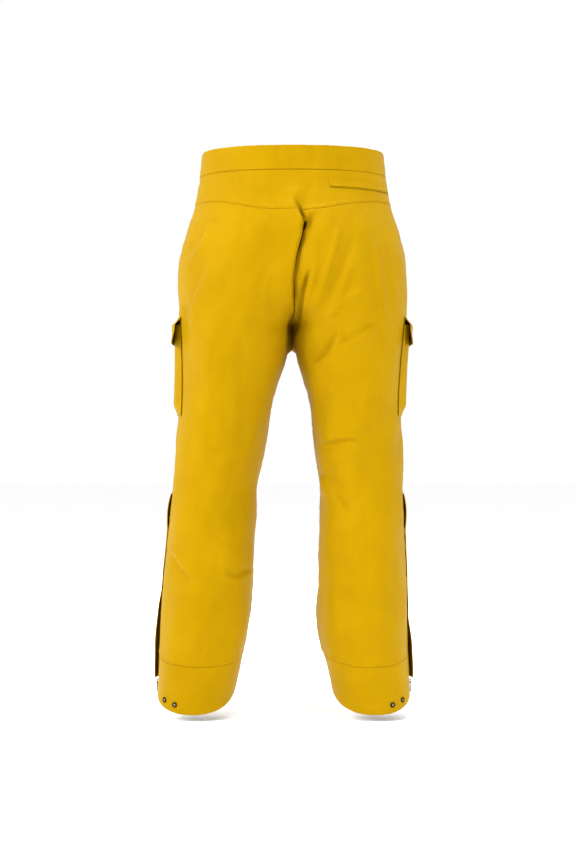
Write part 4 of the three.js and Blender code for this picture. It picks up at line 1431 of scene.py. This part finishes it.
def fly():
    zipper("fly_zip_tape", *fly_zip_line())
    depth = ZIP_RECESS + 1 + 2.7
    top, bottom = FLY_TOP - 1.5, FLY_BOTTOM + 4
    shield = patch(lambda u, v: on_front(-20 + 40 * u, top + (bottom - top) * v))[0]
    sew("fly_shield", shield, -depth - THIN_CLOTH, THIN_CLOTH)

    def on_placket(u, v):
        z = FLY_TOP + 0.4 + (FLY_BOTTOM - 16 - FLY_TOP) * v
        curve_in = 12 * smooth(v, 0.86, 1) ** 2
        return on_front(-FLY_HINGE + 0.5 + u * (FLY_HINGE + 7.5 - curve_in), z)

    placket, u, v = patch(on_placket, SMALL_SPACING)
    lift = GAP + FLY_STANDOFF * smooth(u, 0, 0.45) * (1 - 0.35 * smooth(v, 0.85, 1))
    rows = [("right", FIRST_ROW, 2, 2), ("right", 26, 2, 2), ("bottom", FIRST_ROW, 2, 2)]
    sew("fly_placket", placket, lift, FLAP_CLOTH, (), rows, "fly_flap", FLY_BEND)


def yoke_and_back_pocket():
    yoke = across_back(under_band, yoke_seam, 1.7)
    start = -float(angle_at_x(WELT_FROM, -WELT_TOP))
    stop = float(angle_at_reach(-WELT_TO_REACH, -WELT_TOP))
    along = smooth(yoke.angle, start, start + 0.03) * (1 - smooth(yoke.angle, stop - 0.06, stop - 0.03))
    slit_middle = -WELT_TOP - WELT_HEIGHT + 0.4
    slit = np.exp(-(((yoke.z - slit_middle) / 1.3) ** 4)) * along * (yoke.side > 0)
    yoke.relief = yoke.relief - 2.2 * slit
    rows = [("bottom", inset, 2, 2) for inset in (FIRST_ROW, SECOND_ROW)]
    sew("back_yoke", yoke, lapped(yoke), CLOTH, ("bottom", "left", "right"), rows)

    def strip(top, height, trim):
        return lambda u, v: (1, start + trim + (stop - start - 2 * trim) * u, -top - height * v)

    welt, _, v = patch(strip(WELT_TOP, WELT_HEIGHT - 1.2, 0.0), SMALL_SPACING)
    rows = [("top", 2, 2, 2), ("bottom", 3, 2, 2), ("left", 2, 2, 2), ("right", 2, 2, 2)]
    sew("back_pocket_welt", welt, 0.2 + 0.4 * smooth(v, 0.55, 1), 0.9, (), rows)
    bag = patch(strip(WELT_TOP + 2, 128, -0.04), 9)[0]
    sew("back_pocket_bag", bag, -CLOTH - 3.6, BAG_CLOTH, look=BAG_LOOK)


# ---- pockets and flaps on the legs
FLAP_ROOM = POCKET_DEPTH + POCKET_CLOTH + 2 * PATCH_THICKNESS + 3 * GAP


def hand_pocket(side, hand):
    zipper("hand_zip_tape_" + hand, *hand_zip_line(side))
    bag = patch(lambda u, v: (side, math.pi * (0.1 + 0.25 * u), -70 - 190 * v), 9)[0]
    bag.relief = 0.4 * bag.relief
    sew("hand_pocket_bag_" + hand, bag, -9.6, 1.0, look=BAG_LOOK)


def on_thigh(side, half, down, height):
    """A place on the side of the thigh, half as wide to each hand and down from the pocket's top."""

    def at(u, v):
        z = -POCKET_TOP - down - height * v
        return side, angle_at_reach(POCKET_FORWARD - half + 2 * half * u, z), z

    return at


def cargo_pocket(side, hand):
    pocket, u, v = patch(on_thigh(side, POCKET_HALF_WIDTH, 0, POCKET_HEIGHT), 4.5)
    room = 0.9 + (POCKET_DEPTH - 0.9) * smooth(np.minimum(u, 1 - u), 0, 0.16) * smooth(1 - v, 0, 0.13)
    sag = 0.9 * np.sin(math.pi * u) * smooth(v, 0.3, 0.75) * smooth(1 - v, 0, 0.15)
    crumple = 0.8 * swell(pocket.base, (22, 22, 60), 53)
    crumple = crumple * smooth(pocket.left, 4, 20) * smooth(pocket.right, 4, 20)
    pocket.relief = pocket.relief + crumple * smooth(v, 0.3, 0.5)
    rows = rows_along(("left", "right", "bottom"), FIRST_ROW) + [("top", 16, 3, 3)]
    rows += [("bottom", SECOND_ROW, 9, 9), ("left", SECOND_ROW, 3, 9), ("right", SECOND_ROW, 3, 9)]
    sew("cargo_pocket_" + hand, pocket, room + sag, POCKET_CLOTH, (), rows)

    # the loops lie on the pocket and the hooks on the flap's inner face
    flap_body = "cargo_flap_" + hand
    face = POCKET_DEPTH + POCKET_CLOTH + GAP
    for node, lift, body in (
        ("cargo_loop_patch_", face, "trousers"),
        ("cargo_hook_patch_", FLAP_ROOM - GAP - PATCH_THICKNESS, flap_body),
    ):
        pile = patch(on_thigh(side, POCKET_HALF_WIDTH * 0.6, 10, PATCH_HEIGHT), SMALL_SPACING)[0]
        sew(node + hand, pile, lift, PATCH_THICKNESS, body=body, look=PILE_LOOK)

    flap, u, v = patch(
        on_thigh(side, POCKET_HALF_WIDTH + FLAP_MARGIN, -FLAP_OVERLAP, FLAP_HEIGHT), SMALL_SPACING
    )
    corner = np.abs(2 * u - 1) ** 4 * smooth(v, 0.35, 1)
    lift = GAP + (FLAP_ROOM - GAP) * smooth(v, 0, 0.33) + FLAP_FLARE * corner
    flap.relief = flap.relief + 0.7 * swell(flap.base, (20, 20, 30), 59) * smooth(v, 0.3, 0.7)
    rows = [("top", 3, 3, 3)] + rows_along(("left", "right", "bottom"), FIRST_ROW)
    rows += [("bottom", SECOND_ROW, 9, 9)]
    sewn_edge = -POCKET_TOP + FLAP_OVERLAP
    x, y, _ = surface(side, angle_at_reach(POCKET_FORWARD, sewn_edge), sewn_edge)
    bend = (metres((x, y, sewn_edge)), metres((x, y, sewn_edge - 12)))
    sew(flap_body, flap, lift, POCKET_CLOTH, (), rows, flap_body, bend)


def leg_zip(side, hand):
    length, axes = leg_zip_line(side)
    zipper("leg_zip_tape_" + hand, length, axes)
    node = "leg_zip_guard_" + hand
    guard_length = length - 4
    parts = [strip_in_frame(GUARD_WIDTH, guard_length, TAPE_THICKNESS, axes, 2, -1.4)]
    guard = build("cloth_" + node, parts)
    attach(guard, SHELL_LOOK, nodes=(node,))

    def on_flap(u, v):
        z = -LEG_ZIP_TOP + 12 - (LEG_ZIP_BOTTOM - LEG_ZIP_TOP - 6) * v
        return side, angle_at_reach(LEG_FLAP_HALF * (1 - 2 * u) + 3, z), z

    flap, u, v = patch(on_flap, SMALL_SPACING)
    # the flap gapes near its upper end, and lower down from a different height on each leg
    gape_from = 0.52 if side < 0 else 0.66
    upper = np.sin(math.pi * np.clip(v / 0.2, 0, 1))
    lower = np.sin(math.pi * np.clip((v - gape_from) / (1.12 - gape_from), 0, 1))
    near = 0.22 + 0.75 * upper + 0.06 * np.sin(v * 34)
    lift = GAP + LEG_FLAP_STANDOFF * (smooth(u, 0, 0.35) * near + 1.35 * u * lower)
    body = "leg_zip_flap_" + hand
    middle = -805  # half way down the flap
    hinge = surface(side, angle_at_reach(LEG_FLAP_HALF + 3, middle), middle)
    bend = (metres(hinge), metres(hinge - np.array([0, 9, 0])))
    sew(body, flap, lift, FLAP_CLOTH, (), rows_along(ALL_EDGES, FIRST_ROW), body, bend)


fly_middle = -125  # half way down the fly's hinge
fly_hinge = surface(-1, angle_at_x(FLY_HINGE, fly_middle), fly_middle)
FLY_BEND = (metres(fly_hinge), metres(fly_hinge + np.array([11, 0, 0])))

waistband()
yoke_and_back_pocket()
fly()
for side, hand in ((-1, "left"), (1, "right")):
    leg_panels(side, hand)
    hand_pocket(side, hand)
    cargo_pocket(side, hand)
    leg_zip(side, hand)

# The zips' sliders and pulls keep their own solids, with their edges eased.
for name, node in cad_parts.items():
    if "_slider" in name or "_pull" in name:
        soften(node, 0.35, 3)
        node.data.materials.clear()
        node.data.materials.append(ZIP_METAL)
